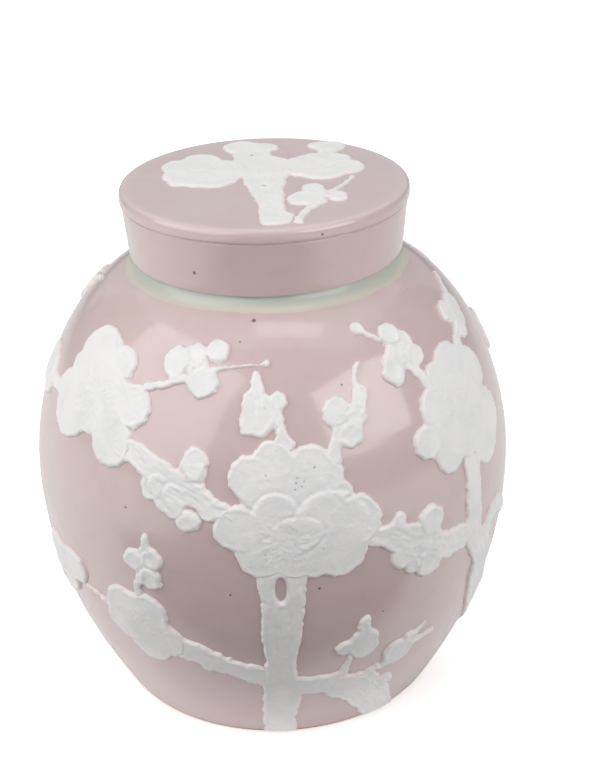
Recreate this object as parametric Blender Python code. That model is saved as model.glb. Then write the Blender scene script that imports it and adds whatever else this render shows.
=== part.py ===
"""Lidded ginger jar: a thrown jar and its cap, with trees of applied slip round the wall and on the cap.

Metres, +Z up. The origin is the centre of the foot, on the surface that the jar stands on. The front of
the jar faces -Y. Sizes are written in millimetres and multiplied by MM where they meet Blender.

The slip is drawn on a flat plan. On the wall the plan's x runs round the jar and its y runs up the
profile, stretched so that shapes keep their proportions; on the cap the plan is the flat top itself.
"""
import math

import bmesh
import bpy
import numpy as np
from mathutils.geometry import delaunay_2d_cdt

MM = 0.001

# Jar profile: foot, belly and the ring where the neck begins
FOOT_RADIUS = 68.5
FOOT_SLOPE = math.radians(60)
FOOT_BEVEL = 1.0
FOOT_RING_WIDTH = 8.0
FOOT_RECESS = 5.0
BELLY_RADIUS = 98.4
BELLY_HEIGHT = 99.0
SHOULDER_RADIUS = 56.4
SHOULDER_HEIGHT = 183.5
SHOULDER_SLOPE = math.radians(28)
FOOT_PULL = 33.5
BELLY_PULL_DOWN = 40.0
BELLY_PULL_UP = 29.0
SHOULDER_PULL = 32.0

# Neck, wall and floor
NECK_RADIUS = 51.0
NECK_FILLET = 10.0
NECK_TOP = 205.5
LIP_ROUND = 2.0
WALL = 5.0
NECK_WALL = 5.2
FLOOR_THICKNESS = 8.0

# Cap
CAP_FOOT = 189.0
CAP_TOP = 216.0
CAP_FOOT_RADIUS = 54.4
CAP_RADIUS = 57.1
CAP_EDGE_ROUND = 4.5
CAP_WALL = 2.7
CAP_CROWN = 4.0
CAP_FOOT_ROUND = 1.0

# Applied slip
SLIP_GAP = 0.35
SLIP_THICKNESS = 1.5
SLIP_PARTING = 0.6
SLIP_FOOT_LINE = -108.0
PLAN_RADIUS = 98.5
PLAN_ZERO_HEIGHT = 92.0

# Facets
SEGMENTS = 48
OUTLINE_GRID = 1.5
OUTLINE_TOLERANCE = 0.3
LONGEST_EDGE = 9.0
INNER_SPACING = 9.0
INNER_MARGIN = 3.2
OUTER_ROWS = 7
INNER_ROWS = 5

FINISHES = {
    "pink_glaze": ((0.60, 0.49, 0.49), 0.22),
    "white_slip": ((0.78, 0.78, 0.75), 0.45),
}


# The wall's slip. A petal is (x, y, half width, half height); a stroke is a list of (x, y, half width)
# from one end to the other; a hole is a petal taken out. Pieces lie in order: an earlier one overlaps a
# later one, which stops at its edge.
WALL_SLIP = {
    "centre_blossom": {
        "petals": [
            (-9, 43, 9.3, 9.3), (0, 50, 8.5, 8.5), (15, 47, 9, 9), (22, 42, 6, 6), (-14, 23, 9.5, 9.5),
            (-5, 13, 10.5, 10.5), (0, 30, 9, 8), (8, 20, 12, 12), (20, 28, 9.3, 9.3), (31, 23, 10.5, 10.5),
            (24, 12, 11, 11), (6, 11, 9, 9), (8, 34, 12, 8),
        ],
    },
    "top_bud": {
        "petals": [(-6, 68, 7, 8), (2.5, 75, 4, 4), (-9.5, 64, 4, 4)],
        "strokes": [[(-6, 72, 4.5), (-6, 80, 3.2), (-6.7, 88.5, 2.3)], [(4, 57, 4.5), (3.5, 67, 3)]],
    },
    "side_bud": {
        "petals": [(28, 67.5, 6.3, 7), (32.5, 58, 6, 6), (36, 63.5, 4.8, 3.2)],
        "strokes": [
            [(23.5, 52, 3), (26.5, 60, 3)], [(37, 66, 3), (41, 74.5, 3)], [(40, 76, 1.6), (43.5, 86.5, 1.6)],
        ],
    },
    "ringed_bud": {"petals": [(-33.5, 23.8, 5.7, 4.7)]},
    "left_blossom": {
        "petals": [
            (-97, 82, 16, 16), (-78, 82.5, 9.3, 9.3), (-63, 66, 10, 10), (-72, 49, 11, 11),
            (-102, 54, 14, 14),
            (-110, 59, 9, 9), (-86, 65, 21, 19),
        ],
    },
    "upper_left_flower": {
        "petals": [
            (-47.5, 90.5, 7, 9), (-38, 95, 7, 7), (-27, 99, 6.6, 6.6), (-31.8, 82, 7.8, 7.8), (-36, 90, 6, 6),
        ],
        "strokes": [
            [(-63, 73, 2.4), (-50, 79, 2.4), (-41, 84, 2.4)],
            [(-25, 89.5, 2), (-14, 91.8, 1.8), (-3, 92.5, 2.4)],
        ],
    },
    "upper_right_flower": {
        "petals": [
            (67, 97, 6.7, 6.7), (74, 91.5, 5.3, 5.3), (76, 82.5, 5.7, 5.7), (60.5, 79.5, 6.3, 8),
            (68, 87, 7, 7),
        ],
        "strokes": [[(71, 80, 2.7), (76, 66, 2.7)]],
    },
    "drop_bud": {
        "petals": [(50.3, 105.8, 4.2, 4.2)],
        "strokes": [[(50.3, 105.8, 3), (59, 96.5, 1.6)]],
    },
    "right_blossom": {
        "petals": [
            (96, 69, 12, 12), (84.5, 67, 9, 9), (77, 57, 9.5, 9.5), (67, 45, 7.5, 7), (78, 37, 9, 9),
            (104, 34, 12, 12), (110, 41, 11.5, 11.5), (108, 62, 12, 12), (92, 52, 20, 18),
        ],
    },
    "outer_right_flower": {
        "petals": [(119, 90, 7, 7), (131, 90, 7, 7), (121, 79, 6, 6), (127, 83, 6, 6)],
        "strokes": [[(108, 74, 3.2), (118, 80, 3.2)], [(133, 94, 2.5), (148, 104, 2)]],
    },
    "outer_left_blossom": {
        "petals": [(-138, 58, 8, 8), (-146, 54, 7, 7), (-136, 51, 6, 6), (-145, 62, 6, 6)],
        "strokes": [[(-137, 57, 4.5), (-118, 56.5, 3.2)]],
    },
    "side_blossom": {
        "petals": [
            (149, -41, 6.5, 6.5), (155.5, -44, 6.5, 6.5), (154, -52, 6.5, 6.5), (147.5, -50, 6.5, 6.5),
        ],
        "strokes": [[(148, -53, 3.8), (139, -63, 3.8)]],
    },
    "heart_bud": {
        "petals": [(35.5, -38, 7.5, 8.5), (27.5, -38.5, 4.3, 4.3)],
        "strokes": [[(35.3, -32, 3), (35.3, -24, 2.4)]],
    },
    "round_bud": {
        "petals": [(54, -50, 8, 8), (60.5, -43, 4, 4)],
        "strokes": [[(52, -53, 2.4), (44, -57, 2)], [(58, -47, 1.8), (73, -46.5, 1.8)]],
    },
    "finger_bud": {
        "petals": [(-49.5, 5, 5, 5), (-58, 2.5, 4.8, 4.8), (-50.5, -4, 5.3, 5.3), (-53.5, 1, 5, 6)],
        "strokes": [[(-52, 3, 3), (-52, 15, 2.1)], [(-56, -3, 3), (-57.5, -13, 2.2)]],
    },
    "low_left_blossom": {
        "petals": [
            (-66, -23, 10, 10), (-55, -23, 10, 10), (-68, -32, 10, 10), (-57, -41, 10.5, 10.5),
            (-48, -36, 9, 9), (-60, -31, 12, 12),
        ],
        "strokes": [[(-76, -26, 2), (-86, -23.6, 1.8)]],
    },
    "outer_low_blossom": {
        "petals": [(-100, -17, 11, 8), (-107, -27, 8, 8), (-113, -17, 9, 9)],
        "strokes": [[(-112, -22, 5), (-128, -34, 4.5), (-138, -50, 5)]],
    },
    "left_branch": {
        "petals": [(-31.5, 47, 5.5, 7.3), (-49, 36, 5, 5), (-41, 32, 5, 5)],
        "strokes": [
            [
                (-18, 29, 4), (-25, 31, 5), (-32, 36, 6), (-40, 39, 7), (-48, 43, 6), (-58, 47, 5), (-64, 48, 5),
            ],
        ],
    },
    "trunk": {
        "strokes": [
            [
                (-0.5, -107, 10.2), (-0.5, -80, 8.5), (0.5, -60, 8), (0, -40, 6.8), (1.5, -20, 7.8), (2, 2, 9.8),
            ],
            [(8, -60, 6.5), (22, -62, 7), (34, -67, 8)],
            [(24, -58, 3), (30, -47, 2.4)],
        ],
        "holes": [(1.3, -3.2, 2.3, 5.2)],
    },
    "root": {
        "petals": [(53, -72, 4, 4)],
        "strokes": [[(36, -70, 11), (50, -88, 11), (60, -104, 10)], [(40, -64, 3.5), (44, -57, 2.6)]],
    },
    "low_left_branch": {
        "strokes": [[(-44, -38, 7), (-35, -41, 7), (-22, -46, 6.3), (-7, -53, 6)]],
    },
    "right_branch": {
        "petals": [(64, 14, 6.5, 6.5), (50, 2, 5, 5), (63, -5, 6.5, 6.5)],
        "strokes": [
            [
                (36, 15, 4.5), (45, 13, 6), (52, 9, 7), (62, 4, 7), (72, -1, 6.5), (81, -1.5, 6),
            ],
        ],
    },
    "right_trunk": {
        "strokes": [
            [
                (90, 34, 6), (90, 14, 6), (90, 2, 6), (91, -6, 6), (99, -15, 7.5), (103, -20, 8.5), (102, -28, 8.5),
                (107.5, -42, 8.8), (118, -56, 9), (133, -70, 9.5), (143, -86, 9.5), (147, -107, 10),
            ],
            [(103, -9, 4.8), (107, -3.5, 4.8), (115, -2, 4.6), (122, -7, 4)],
        ],
    },
}

# The cap's slip, on the flat top: x to the right, y to the back
CAP_SLIP = {
    "cap_bud": {
        "petals": [(17.5, -22, 7.5, 7), (28, -22, 4, 5.5), (13, -26, 4.2, 4.2), (18.5, -26, 5, 5)],
        "strokes": [
            [(19, -18, 4.8), (19, -10.5, 4.3)], [(18, -30, 1.8), (15.5, -37, 1.8)],
            [(27, -17, 1.8), (31, -9, 1.8)],
        ],
    },
    "cap_left_blossom": {
        "petals": [
            (-29, 7, 11.5, 11), (-34, 20, 7, 8), (-25, 24, 10, 10.5), (-20, 3, 10, 9), (-33, 0, 5, 4.5),
            (-15, 13, 9, 12),
        ],
    },
    "cap_right_blossom": {
        "petals": [(24, 12, 12.5, 13), (22, 22, 10, 9), (32, 13, 8.5, 8.5), (29, 24, 6.5, 6)],
    },
    "cap_top_bud": {
        "petals": [(27, 40, 6.5, 6.5), (22.5, 42, 3.8, 4.5)],
        "strokes": [[(27, 33, 4), (26, 38, 5)]],
    },
    "cap_trunk": {
        "petals": [(0, 17, 12, 13), (-8, 42, 8, 7.5), (1, 41, 5.5, 5)],
        "strokes": [
            [(3, -48, 4.8), (3, -35, 5.2), (1.8, -20, 5.8), (0.5, -8, 7), (0.5, 4, 9.8)],
            [(9, -48, 4.6), (9, -43, 4.6)],
            [(-4, 20, 8), (-4.5, 36, 7.5)],
        ],
    },
}


def clear_scene():
    for old in list(bpy.data.objects):
        bpy.data.objects.remove(old, do_unlink=True)


def finish_material(slot):
    colour, roughness = FINISHES[slot]
    material = bpy.data.materials.get(slot) or bpy.data.materials.new(slot)
    material.use_nodes = True
    shader = material.node_tree.nodes["Principled BSDF"]
    shader.inputs["Base Color"].default_value = (*colour, 1.0)
    shader.inputs["Roughness"].default_value = roughness
    shader.inputs["Metallic"].default_value = 0.0
    return material


def add_object(name, mesh, slot, parent=None):
    mesh.materials.append(finish_material(slot))
    piece = bpy.data.objects.new(name, mesh)
    bpy.context.collection.objects.link(piece)
    piece.parent = parent
    return piece


def bezier(start, handle_a, handle_b, end, count):
    """Points on a cubic curve, both ends included."""
    t = np.linspace(0.0, 1.0, count)[:, None]
    start, handle_a, handle_b, end = (np.asarray(p, float) for p in (start, handle_a, handle_b, end))
    return (1 - t) ** 3 * start + 3 * (1 - t) ** 2 * t * handle_a + 3 * (1 - t) * t**2 * handle_b + t**3 * end


def arc(centre, radius, start, end, count):
    """Points on an arc between two angles in radians, both ends included."""
    angles = np.linspace(start, end, count)
    return np.column_stack([centre[0] + radius * np.cos(angles), centre[1] + radius * np.sin(angles)])


def evenly_spaced(curve, count):
    """Points at equal steps along a curve, both ends included."""
    length = np.concatenate([[0.0], np.cumsum(np.hypot(*np.diff(curve, axis=0).T))])
    wanted = np.linspace(0.0, length[-1], count)
    return np.column_stack([np.interp(wanted, length, curve[:, 0]), np.interp(wanted, length, curve[:, 1])])


def wall_profile(rows):
    """Outer wall as (radius, height): the given number of rows up to the belly, and as many above it."""
    foot = (FOOT_RADIUS, 0.0)
    belly = (BELLY_RADIUS, BELLY_HEIGHT)
    shoulder = (SHOULDER_RADIUS, SHOULDER_HEIGHT)
    foot_handle = (FOOT_RADIUS + FOOT_PULL * math.cos(FOOT_SLOPE), FOOT_PULL * math.sin(FOOT_SLOPE))
    shoulder_handle = (
        SHOULDER_RADIUS + SHOULDER_PULL * math.cos(SHOULDER_SLOPE),
        SHOULDER_HEIGHT - SHOULDER_PULL * math.sin(SHOULDER_SLOPE),
    )
    lower = bezier(foot, foot_handle, (BELLY_RADIUS, BELLY_HEIGHT - BELLY_PULL_DOWN), belly, 200)
    upper = bezier(belly, (BELLY_RADIUS, BELLY_HEIGHT + BELLY_PULL_UP), shoulder_handle, shoulder, 200)
    return np.vstack([evenly_spaced(lower, rows + 1), evenly_spaced(upper, rows + 1)[1:]])


def neck_profile(count):
    """From the shoulder ring along its slope, round the fillet and up to the lip's start."""
    slope = SHOULDER_SLOPE
    turn = math.pi / 2 - slope
    fillet_centre = (NECK_RADIUS + NECK_FILLET, 0.0)
    start = (fillet_centre[0] - NECK_FILLET * math.sin(slope), -NECK_FILLET * math.cos(slope))
    run = SHOULDER_RADIUS - start[0]
    height = SHOULDER_HEIGHT + run * math.tan(slope) - start[1]
    curve = arc((fillet_centre[0], height), NECK_FILLET, math.pi + turn, math.pi, count)
    return np.vstack([curve, [(NECK_RADIUS, NECK_TOP - LIP_ROUND)]])


def inset_profile(profile, amount):
    """The profile moved inwards, square to itself."""
    along = np.gradient(profile, axis=0)
    along /= np.linalg.norm(along, axis=1)[:, None]
    return profile + amount * np.column_stack([-along[:, 1], along[:, 0]])


def turned_mesh(name, outline):
    """Solid of revolution from an outline of (radius, height) that starts and ends on the axis."""
    bm = bmesh.new()
    rows = [bm.verts.new((r * MM, 0.0, z * MM)) for r, z in outline]
    edges = [bm.edges.new(pair) for pair in zip(rows, rows[1:])]
    bmesh.ops.spin(
        bm, geom=rows + edges, cent=(0, 0, 0), axis=(0, 0, 1), dvec=(0, 0, 0),
        angle=2 * math.pi, steps=SEGMENTS, use_merge=True, use_duplicate=False,
    )
    bmesh.ops.remove_doubles(bm, verts=bm.verts, dist=0.00001)
    bmesh.ops.recalc_face_normals(bm, faces=bm.faces)
    mesh = bpy.data.meshes.new(name)
    bm.to_mesh(mesh)
    bm.free()
    mesh.shade_smooth()
    mesh.set_sharp_from_angle(angle=math.radians(40))
    return mesh


def jar_body():
    outer = wall_profile(OUTER_ROWS)
    outer[0] = (FOOT_RADIUS - FOOT_BEVEL, 0.0)
    bevel_top = (FOOT_RADIUS + FOOT_BEVEL / math.tan(FOOT_SLOPE), FOOT_BEVEL)
    neck = neck_profile(5)
    lip = arc((NECK_RADIUS - LIP_ROUND, NECK_TOP - LIP_ROUND), LIP_ROUND, 0.0, math.pi / 2, 3)[1:]
    mouth_radius = NECK_RADIUS - NECK_WALL
    lip_inside = [(mouth_radius, NECK_TOP - LIP_ROUND), (mouth_radius, SHOULDER_HEIGHT + WALL)]
    inner = inset_profile(wall_profile(INNER_ROWS), WALL)[::-1]
    floor_top = FOOT_RECESS + FLOOR_THICKNESS
    shown = (inner[:, 0] > mouth_radius + 2.0) & (inner[:, 1] > floor_top + 4.0)
    inner = inner[shown][1:]
    floor_edge = [(inner[-1][0] - 5.0, floor_top + 1.0), (inner[-1][0] - 12.0, floor_top)]
    foot_inner = FOOT_RADIUS - FOOT_RING_WIDTH
    outline = [(0.0, FOOT_RECESS), (foot_inner - 1.5, FOOT_RECESS), (foot_inner, 0.0), outer[0], bevel_top]
    outline += [*outer[1:], *neck, *lip, *lip_inside, *inner, *floor_edge, (0.0, floor_top)]
    return add_object("jar_body", turned_mesh("jar_body", outline), "pink_glaze")


def cap_shell(parent):
    edge = arc((CAP_RADIUS - CAP_EDGE_ROUND, CAP_TOP - CAP_EDGE_ROUND), CAP_EDGE_ROUND, 0.0, math.pi / 2, 5)
    foot_centre = (CAP_FOOT_RADIUS - CAP_FOOT_ROUND, CAP_FOOT + CAP_FOOT_ROUND)
    foot = arc(foot_centre, CAP_FOOT_ROUND, -math.pi / 2, 0.0, 3)
    inner_foot = CAP_FOOT_RADIUS - CAP_WALL
    ceiling = CAP_TOP - CAP_CROWN
    ceiling_round = 2.0
    outline = [(0.0, ceiling), (inner_foot / 2, ceiling), (inner_foot - ceiling_round, ceiling)]
    outline += [(inner_foot, ceiling - ceiling_round), (inner_foot, CAP_FOOT + 0.8)]
    outline += [(inner_foot + 0.7, CAP_FOOT)]
    outline += [*foot, *edge, (CAP_RADIUS / 2, CAP_TOP), (0.0, CAP_TOP)]
    return add_object("cap_shell", turned_mesh("cap_shell", outline), "pink_glaze", parent)


def petal_field(x, y, petal):
    """Distance to an ellipse, negative inside."""
    cx, cy, wide, high = petal
    dx, dy = (x - cx) / wide, (y - cy) / high
    reach = np.hypot(dx, dy)
    slope = np.hypot(dx / wide, dy / high)
    return np.where(slope > 1e-9, reach * (reach - 1.0) / np.maximum(slope, 1e-9), -min(wide, high))


def stroke_field(x, y, stroke):
    """Distance to a brush stroke of changing width, negative inside."""
    best = np.full(np.shape(x), 1e3)
    for (ax, ay, aw), (bx, by, bw) in zip(stroke, stroke[1:]):
        ux, uy = bx - ax, by - ay
        along = np.clip(((x - ax) * ux + (y - ay) * uy) / (ux * ux + uy * uy), 0.0, 1.0)
        away = np.hypot(x - ax - along * ux, y - ay - along * uy)
        best = np.minimum(best, away - (aw + along * (bw - aw)))
    return best


def slip_field(x, y, shape):
    field = np.full(np.shape(x), 1e3)
    for petal in shape.get("petals", []):
        field = np.minimum(field, petal_field(x, y, petal))
    for stroke in shape.get("strokes", []):
        field = np.minimum(field, stroke_field(x, y, stroke))
    for hole in shape.get("holes", []):
        field = np.maximum(field, -petal_field(x, y, hole))
    return field


def parted_field(x, y, shape, above):
    """A piece's field, stopping short of the foot and of the pieces that lie over it."""
    field = np.maximum(slip_field(x, y, shape), SLIP_FOOT_LINE - y)
    for other in above:
        field = np.maximum(field, SLIP_PARTING - slip_field(x, y, other))
    return field


def plan_box(shape):
    spots = [(p[0], p[1], max(p[2:])) for p in shape.get("petals", [])]
    spots += [point for stroke in shape.get("strokes", []) for point in stroke]
    spots = np.array(spots, float)
    reach = spots[:, 2] + 2 * OUTLINE_GRID
    low = (spots[:, :2] - reach[:, None]).min(axis=0)
    high = (spots[:, :2] + reach[:, None]).max(axis=0)
    return low, high


# For each way the four corners of a grid square can lie inside, the sides that the outline joins,
# walked with the inside on its left
SQUARE_SIDES = {
    1: [(0, 3)], 2: [(1, 0)], 3: [(1, 3)], 4: [(2, 1)], 5: [(0, 3), (2, 1)], 6: [(2, 0)], 7: [(2, 3)],
    8: [(3, 2)], 9: [(0, 2)], 10: [(1, 0), (3, 2)], 11: [(1, 2)], 12: [(3, 1)], 13: [(0, 1)], 14: [(3, 0)],
}
SQUARE_CORNERS = ((0, 0), (1, 0), (1, 1), (0, 1))


def side_key(i, j, side):
    """A grid side's name, the same from both squares that share it."""
    return [(i, j, "across"), (i + 1, j, "up"), (i, j + 1, "across"), (i, j, "up")][side]


def outline_loops(field, low, high):
    """Closed outlines of the region where the field is negative."""
    xs = np.arange(low[0], high[0] + OUTLINE_GRID, OUTLINE_GRID)
    ys = np.arange(low[1], high[1] + OUTLINE_GRID, OUTLINE_GRID)
    values = field(*np.meshgrid(xs, ys, indexing="ij"))
    inside = values < 0
    code = sum(inside[a : a - 1 or None, b : b - 1 or None] * 2**n for n, (a, b) in enumerate(SQUARE_CORNERS))
    follows = {}
    places = {}
    for i, j in zip(*np.nonzero((code > 0) & (code < 15))):
        for pair in SQUARE_SIDES[int(code[i, j])]:
            for side in pair:
                a, b = SQUARE_CORNERS[side], SQUARE_CORNERS[(side + 1) % 4]
                va, vb = values[i + a[0], j + a[1]], values[i + b[0], j + b[1]]
                t = va / (va - vb)
                x = xs[i + a[0]] * (1 - t) + xs[i + b[0]] * t
                y = ys[j + a[1]] * (1 - t) + ys[j + b[1]] * t
                places[side_key(i, j, side)] = (x, y)
            follows[side_key(i, j, pair[0])] = side_key(i, j, pair[1])
    loops = []
    while follows:
        first, key = follows.popitem()
        loop = [places[first]]
        while key != first:
            loop.append(places[key])
            key = follows.pop(key)
        loops.append(np.array(loop))
    return loops


def loop_area(loop):
    x, y = loop.T
    return 0.5 * float(np.sum(x * np.roll(y, -1) - np.roll(x, -1) * y))


def thinned(points):
    """An open run of points with those left out that lie close to a straight edge."""
    start, end = points[0], points[-1]
    run = end - start
    length = math.hypot(*run)
    if len(points) < 3:
        return [start]
    away = np.abs(run[0] * (points[:, 1] - start[1]) - run[1] * (points[:, 0] - start[0])) / max(length, 1e-9)
    worst = int(np.argmax(away)) if length > 1e-9 else len(points) // 2
    if away[worst] < OUTLINE_TOLERANCE and length < LONGEST_EDGE:
        return [start]
    if worst in (0, len(points) - 1) or away[worst] < OUTLINE_TOLERANCE:
        worst = len(points) // 2
    return thinned(points[: worst + 1]) + thinned(points[worst:])


def thinned_loop(loop):
    half = len(loop) // 2
    closed = np.vstack([loop, loop[:1]])
    return thinned(closed[: half + 1]) + thinned(closed[half:])


def flat_triangles(field, low, high):
    """The region's largest patch as a flat mesh: its points and its triangles."""
    loops = sorted(outline_loops(field, low, high), key=loop_area)
    outer = loops[-1]
    box = (outer.min(axis=0), outer.max(axis=0))
    holes = [loop for loop in loops if loop_area(loop) < -4.0 and box[0][0] < loop[0][0] < box[1][0]]
    points = []
    edges = []
    for loop in [outer, *holes]:
        kept = thinned_loop(loop)
        first = len(points)
        points += [tuple(p) for p in kept]
        edges += [(first + n, first + (n + 1) % len(kept)) for n in range(len(kept))]
    rim = len(points)
    grid_x = np.arange(box[0][0], box[1][0], INNER_SPACING)
    grid_y = np.arange(box[0][1], box[1][1], INNER_SPACING * 0.87)
    for row, y in enumerate(grid_y):
        for x in grid_x + (row % 2) * INNER_SPACING / 2:
            if float(field(np.array([x]), np.array([y]))[0]) < -INNER_MARGIN:
                points.append((x, y))
    rim_loop = np.array(points[:rim])
    verts, _, faces, *_ = delaunay_2d_cdt(points, edges, [], 1, 1e-6)
    verts = np.array([tuple(v) for v in verts])
    centres = np.array([verts[list(face)].mean(axis=0) for face in faces])
    solid = in_loops(centres, rim_loop, edges)
    return verts, [face for face, keep in zip(faces, solid) if keep]


def in_loops(spots, rim, edges):
    """Which spots lie inside the rim's loops, holes left out."""
    crossings = np.zeros(len(spots), int)
    for a, b in edges:
        (ax, ay), (bx, by) = rim[a], rim[b]
        spans = (spots[:, 1] < ay) != (spots[:, 1] < by)
        if ay != by:
            at = ax + (spots[:, 1] - ay) * (bx - ax) / (by - ay)
            crossings += spans & (spots[:, 0] < at)
    return crossings % 2 == 1


def wall_place():
    """A function that lays plan points on the jar's wall, lifted off it by some millimetres."""
    profile = wall_profile(200)
    steps = np.hypot(*np.diff(profile, axis=0).T)
    middles = (profile[1:, 0] + profile[:-1, 0]) / 2
    rise = np.concatenate([[0.0], np.cumsum(PLAN_RADIUS * steps / middles)])
    rise -= np.interp(PLAN_ZERO_HEIGHT, profile[:, 1], rise)
    outward = inset_profile(profile, -1.0) - profile

    def place(x, y, lift, turn):
        radius = np.interp(y, rise, profile[:, 0]) + lift * np.interp(y, rise, outward[:, 0])
        height = np.interp(y, rise, profile[:, 1]) + lift * np.interp(y, rise, outward[:, 1])
        angle = x / PLAN_RADIUS + turn
        return np.column_stack([radius * np.sin(angle), -radius * np.cos(angle), height]) * MM

    return place


def cap_place(x, y, lift, turn):
    return np.column_stack([x, y, np.full(np.shape(x), CAP_TOP + lift)]) * MM


def slip_mesh(name, flat, place, turn):
    """A closed skin of even thickness over a flat patch, laid on its surface."""
    verts, faces = flat
    x, y = verts.T
    below = place(x, y, SLIP_GAP, turn)
    above = place(x, y, SLIP_GAP + SLIP_THICKNESS, turn)
    bm = bmesh.new()
    low = [bm.verts.new(v) for v in below]
    top = [bm.verts.new(v) for v in above]
    sides = {}
    for face in faces:
        bm.faces.new([top[n] for n in face])
        bm.faces.new([low[n] for n in reversed(face)])
        for a, b in zip(face, [*face[1:], face[0]]):
            sides[(a, b)] = sides.pop((b, a), None) is None
            if not sides[(a, b)]:
                del sides[(a, b)]
    for a, b in sides:
        bm.faces.new([top[b], top[a], low[a], low[b]])
    loose = [v for v in bm.verts if not v.link_faces]
    bmesh.ops.delete(bm, geom=loose, context="VERTS")
    bmesh.ops.recalc_face_normals(bm, faces=bm.faces)
    mesh = bpy.data.meshes.new(name)
    bm.to_mesh(mesh)
    bm.free()
    return mesh


def lay_slip(shapes, place, sides, parent=None):
    """Every slip piece in a plan, once for each named side of the jar."""
    above = []
    for name, shape in shapes.items():
        low, high = plan_box(shape)
        flat = flat_triangles(lambda x, y: parted_field(x, y, shape, above), low, high)
        for side, turn in sides.items():
            full_name = side + name
            add_object(full_name, slip_mesh(full_name, flat, place, turn), "white_slip", parent)
        above.append(shape)


def main():
    clear_scene()
    jar_body()
    lay_slip(WALL_SLIP, wall_place(), {"front_": 0.0, "back_": math.pi})
    cap_axis = bpy.data.objects.new("cap_axis", None)
    bpy.context.collection.objects.link(cap_axis)
    cap_shell(cap_axis)
    lay_slip(CAP_SLIP, cap_place, {"": 0.0}, cap_axis)


main()
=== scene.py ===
"""Ginger jar: turned jar and cap in pink glaze, with hand-laid white slip, on a plain pale floor."""
import math

import bmesh
import bpy
import numpy as np
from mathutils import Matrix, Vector


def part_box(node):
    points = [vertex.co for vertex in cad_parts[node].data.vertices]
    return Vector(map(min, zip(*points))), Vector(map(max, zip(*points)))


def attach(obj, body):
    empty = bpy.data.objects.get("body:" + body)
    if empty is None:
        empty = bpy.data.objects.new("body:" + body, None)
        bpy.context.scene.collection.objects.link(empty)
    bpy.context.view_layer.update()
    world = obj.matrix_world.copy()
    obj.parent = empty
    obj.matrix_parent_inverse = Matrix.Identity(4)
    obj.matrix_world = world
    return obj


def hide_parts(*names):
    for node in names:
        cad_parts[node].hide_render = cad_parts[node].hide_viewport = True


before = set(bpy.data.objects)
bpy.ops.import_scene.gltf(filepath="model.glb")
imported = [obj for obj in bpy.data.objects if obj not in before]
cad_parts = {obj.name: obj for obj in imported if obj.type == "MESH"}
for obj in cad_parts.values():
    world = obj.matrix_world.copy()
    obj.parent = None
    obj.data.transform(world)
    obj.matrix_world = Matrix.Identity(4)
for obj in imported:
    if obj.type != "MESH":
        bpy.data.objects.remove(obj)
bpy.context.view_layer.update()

MM = 0.001

# What the frame says about the two turned pieces, in millimetres
JAR_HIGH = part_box("jar_body")[1] / MM
CAP_LOW, CAP_HIGH = (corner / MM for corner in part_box("cap_shell"))
BELLY_RADIUS = JAR_HIGH.x
NECK_TOP = JAR_HIGH.z
CAP_RADIUS = CAP_HIGH.x
CAP_FOOT = CAP_LOW.z
CAP_TOP = CAP_HIGH.z

# Jar profile
FOOT_RADIUS = 68.5
FOOT_SLOPE = math.radians(60)
FOOT_BEVEL = 1.2
FOOT_RING_WIDTH = 8.0
FOOT_RECESS = 5.0
BELLY_HEIGHT = 99.0
SHOULDER_RADIUS = 56.4
SHOULDER_HEIGHT = 183.5
SHOULDER_SLOPE = math.radians(28)
FOOT_PULL = 33.5
BELLY_PULL_DOWN = 40.0
BELLY_PULL_UP = 29.0
SHOULDER_PULL = 32.0
NECK_RADIUS = 51.0
NECK_FILLET = 10.0
LIP_ROUND = 2.4
WALL = 5.0
NECK_WALL = 5.2
FLOOR_THICKNESS = 8.0

# Cap profile
CAP_FOOT_RADIUS = 54.4
CAP_STEP_DROP = 5.6
CAP_STEP_DEPTH = 0.8
CAP_WALL = 2.7
CAP_CROWN = 4.0
CAP_FOOT_ROUND = 1.1

# Slip plan: x runs round the wall at this radius, y runs up the profile from this height
PLAN_RADIUS = 98.5
PLAN_ZERO_HEIGHT = 92.0
PLAN_STEP = 0.5
SLIP_FOOT_LINE = -108.0
SLIP_GRID = 0.55
SLIP_THICKNESS = 1.05
SLIP_FOLD = 0.40
SLIP_LIMIT = 1.75
SLIP_EDGE_ROUND = 1.5
SLIP_CORNER = 1.1
SLIP_EDGE_SINK = 0.25
SLIP_ROOT = 0.9
CAP_SLIP_RISE = 0.6

# Relief on the slip's face: rolled edge, brush marks, petal swell, furrows by the folds, eye, pits
ROLLED_EDGE = 0.19
BRUSH_MARK = 0.17
BRUSH_MARK_FINE = 0.08
PETAL_SWELL = 0.10
PETAL_BRUSH = 0.06
FURROW = 0.22
EYE_HOLLOW = 0.22
EYE_LINES = 0.24
PIT_DEPTH = 0.75

FACETS = 240


# ---------------------------------------------------------------- node trees

def tree_node(tree, kind, inputs=None, **settings):
    """Adds a node, sets its options, then joins or fills its inputs."""
    node = tree.nodes.new(kind)
    for key, value in settings.items():
        setattr(node, key, value)
    for key, value in (inputs or {}).items():
        if isinstance(value, bpy.types.NodeSocket):
            tree.links.new(value, node.inputs[key])
        else:
            node.inputs[key].default_value = value
    return node


def maths(tree, operation, *values, clamp=False):
    node = tree_node(tree, "ShaderNodeMath", dict(enumerate(values)), operation=operation, use_clamp=clamp)
    return node.outputs[0]


def vector_maths(tree, operation, *values):
    names = (0, "Scale") if operation == "SCALE" else range(3)
    node = tree_node(tree, "ShaderNodeVectorMath", dict(zip(names, values)), operation=operation)
    return node.outputs["Value"] if operation in ("LENGTH", "DOT_PRODUCT", "DISTANCE") else node.outputs[0]


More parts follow.
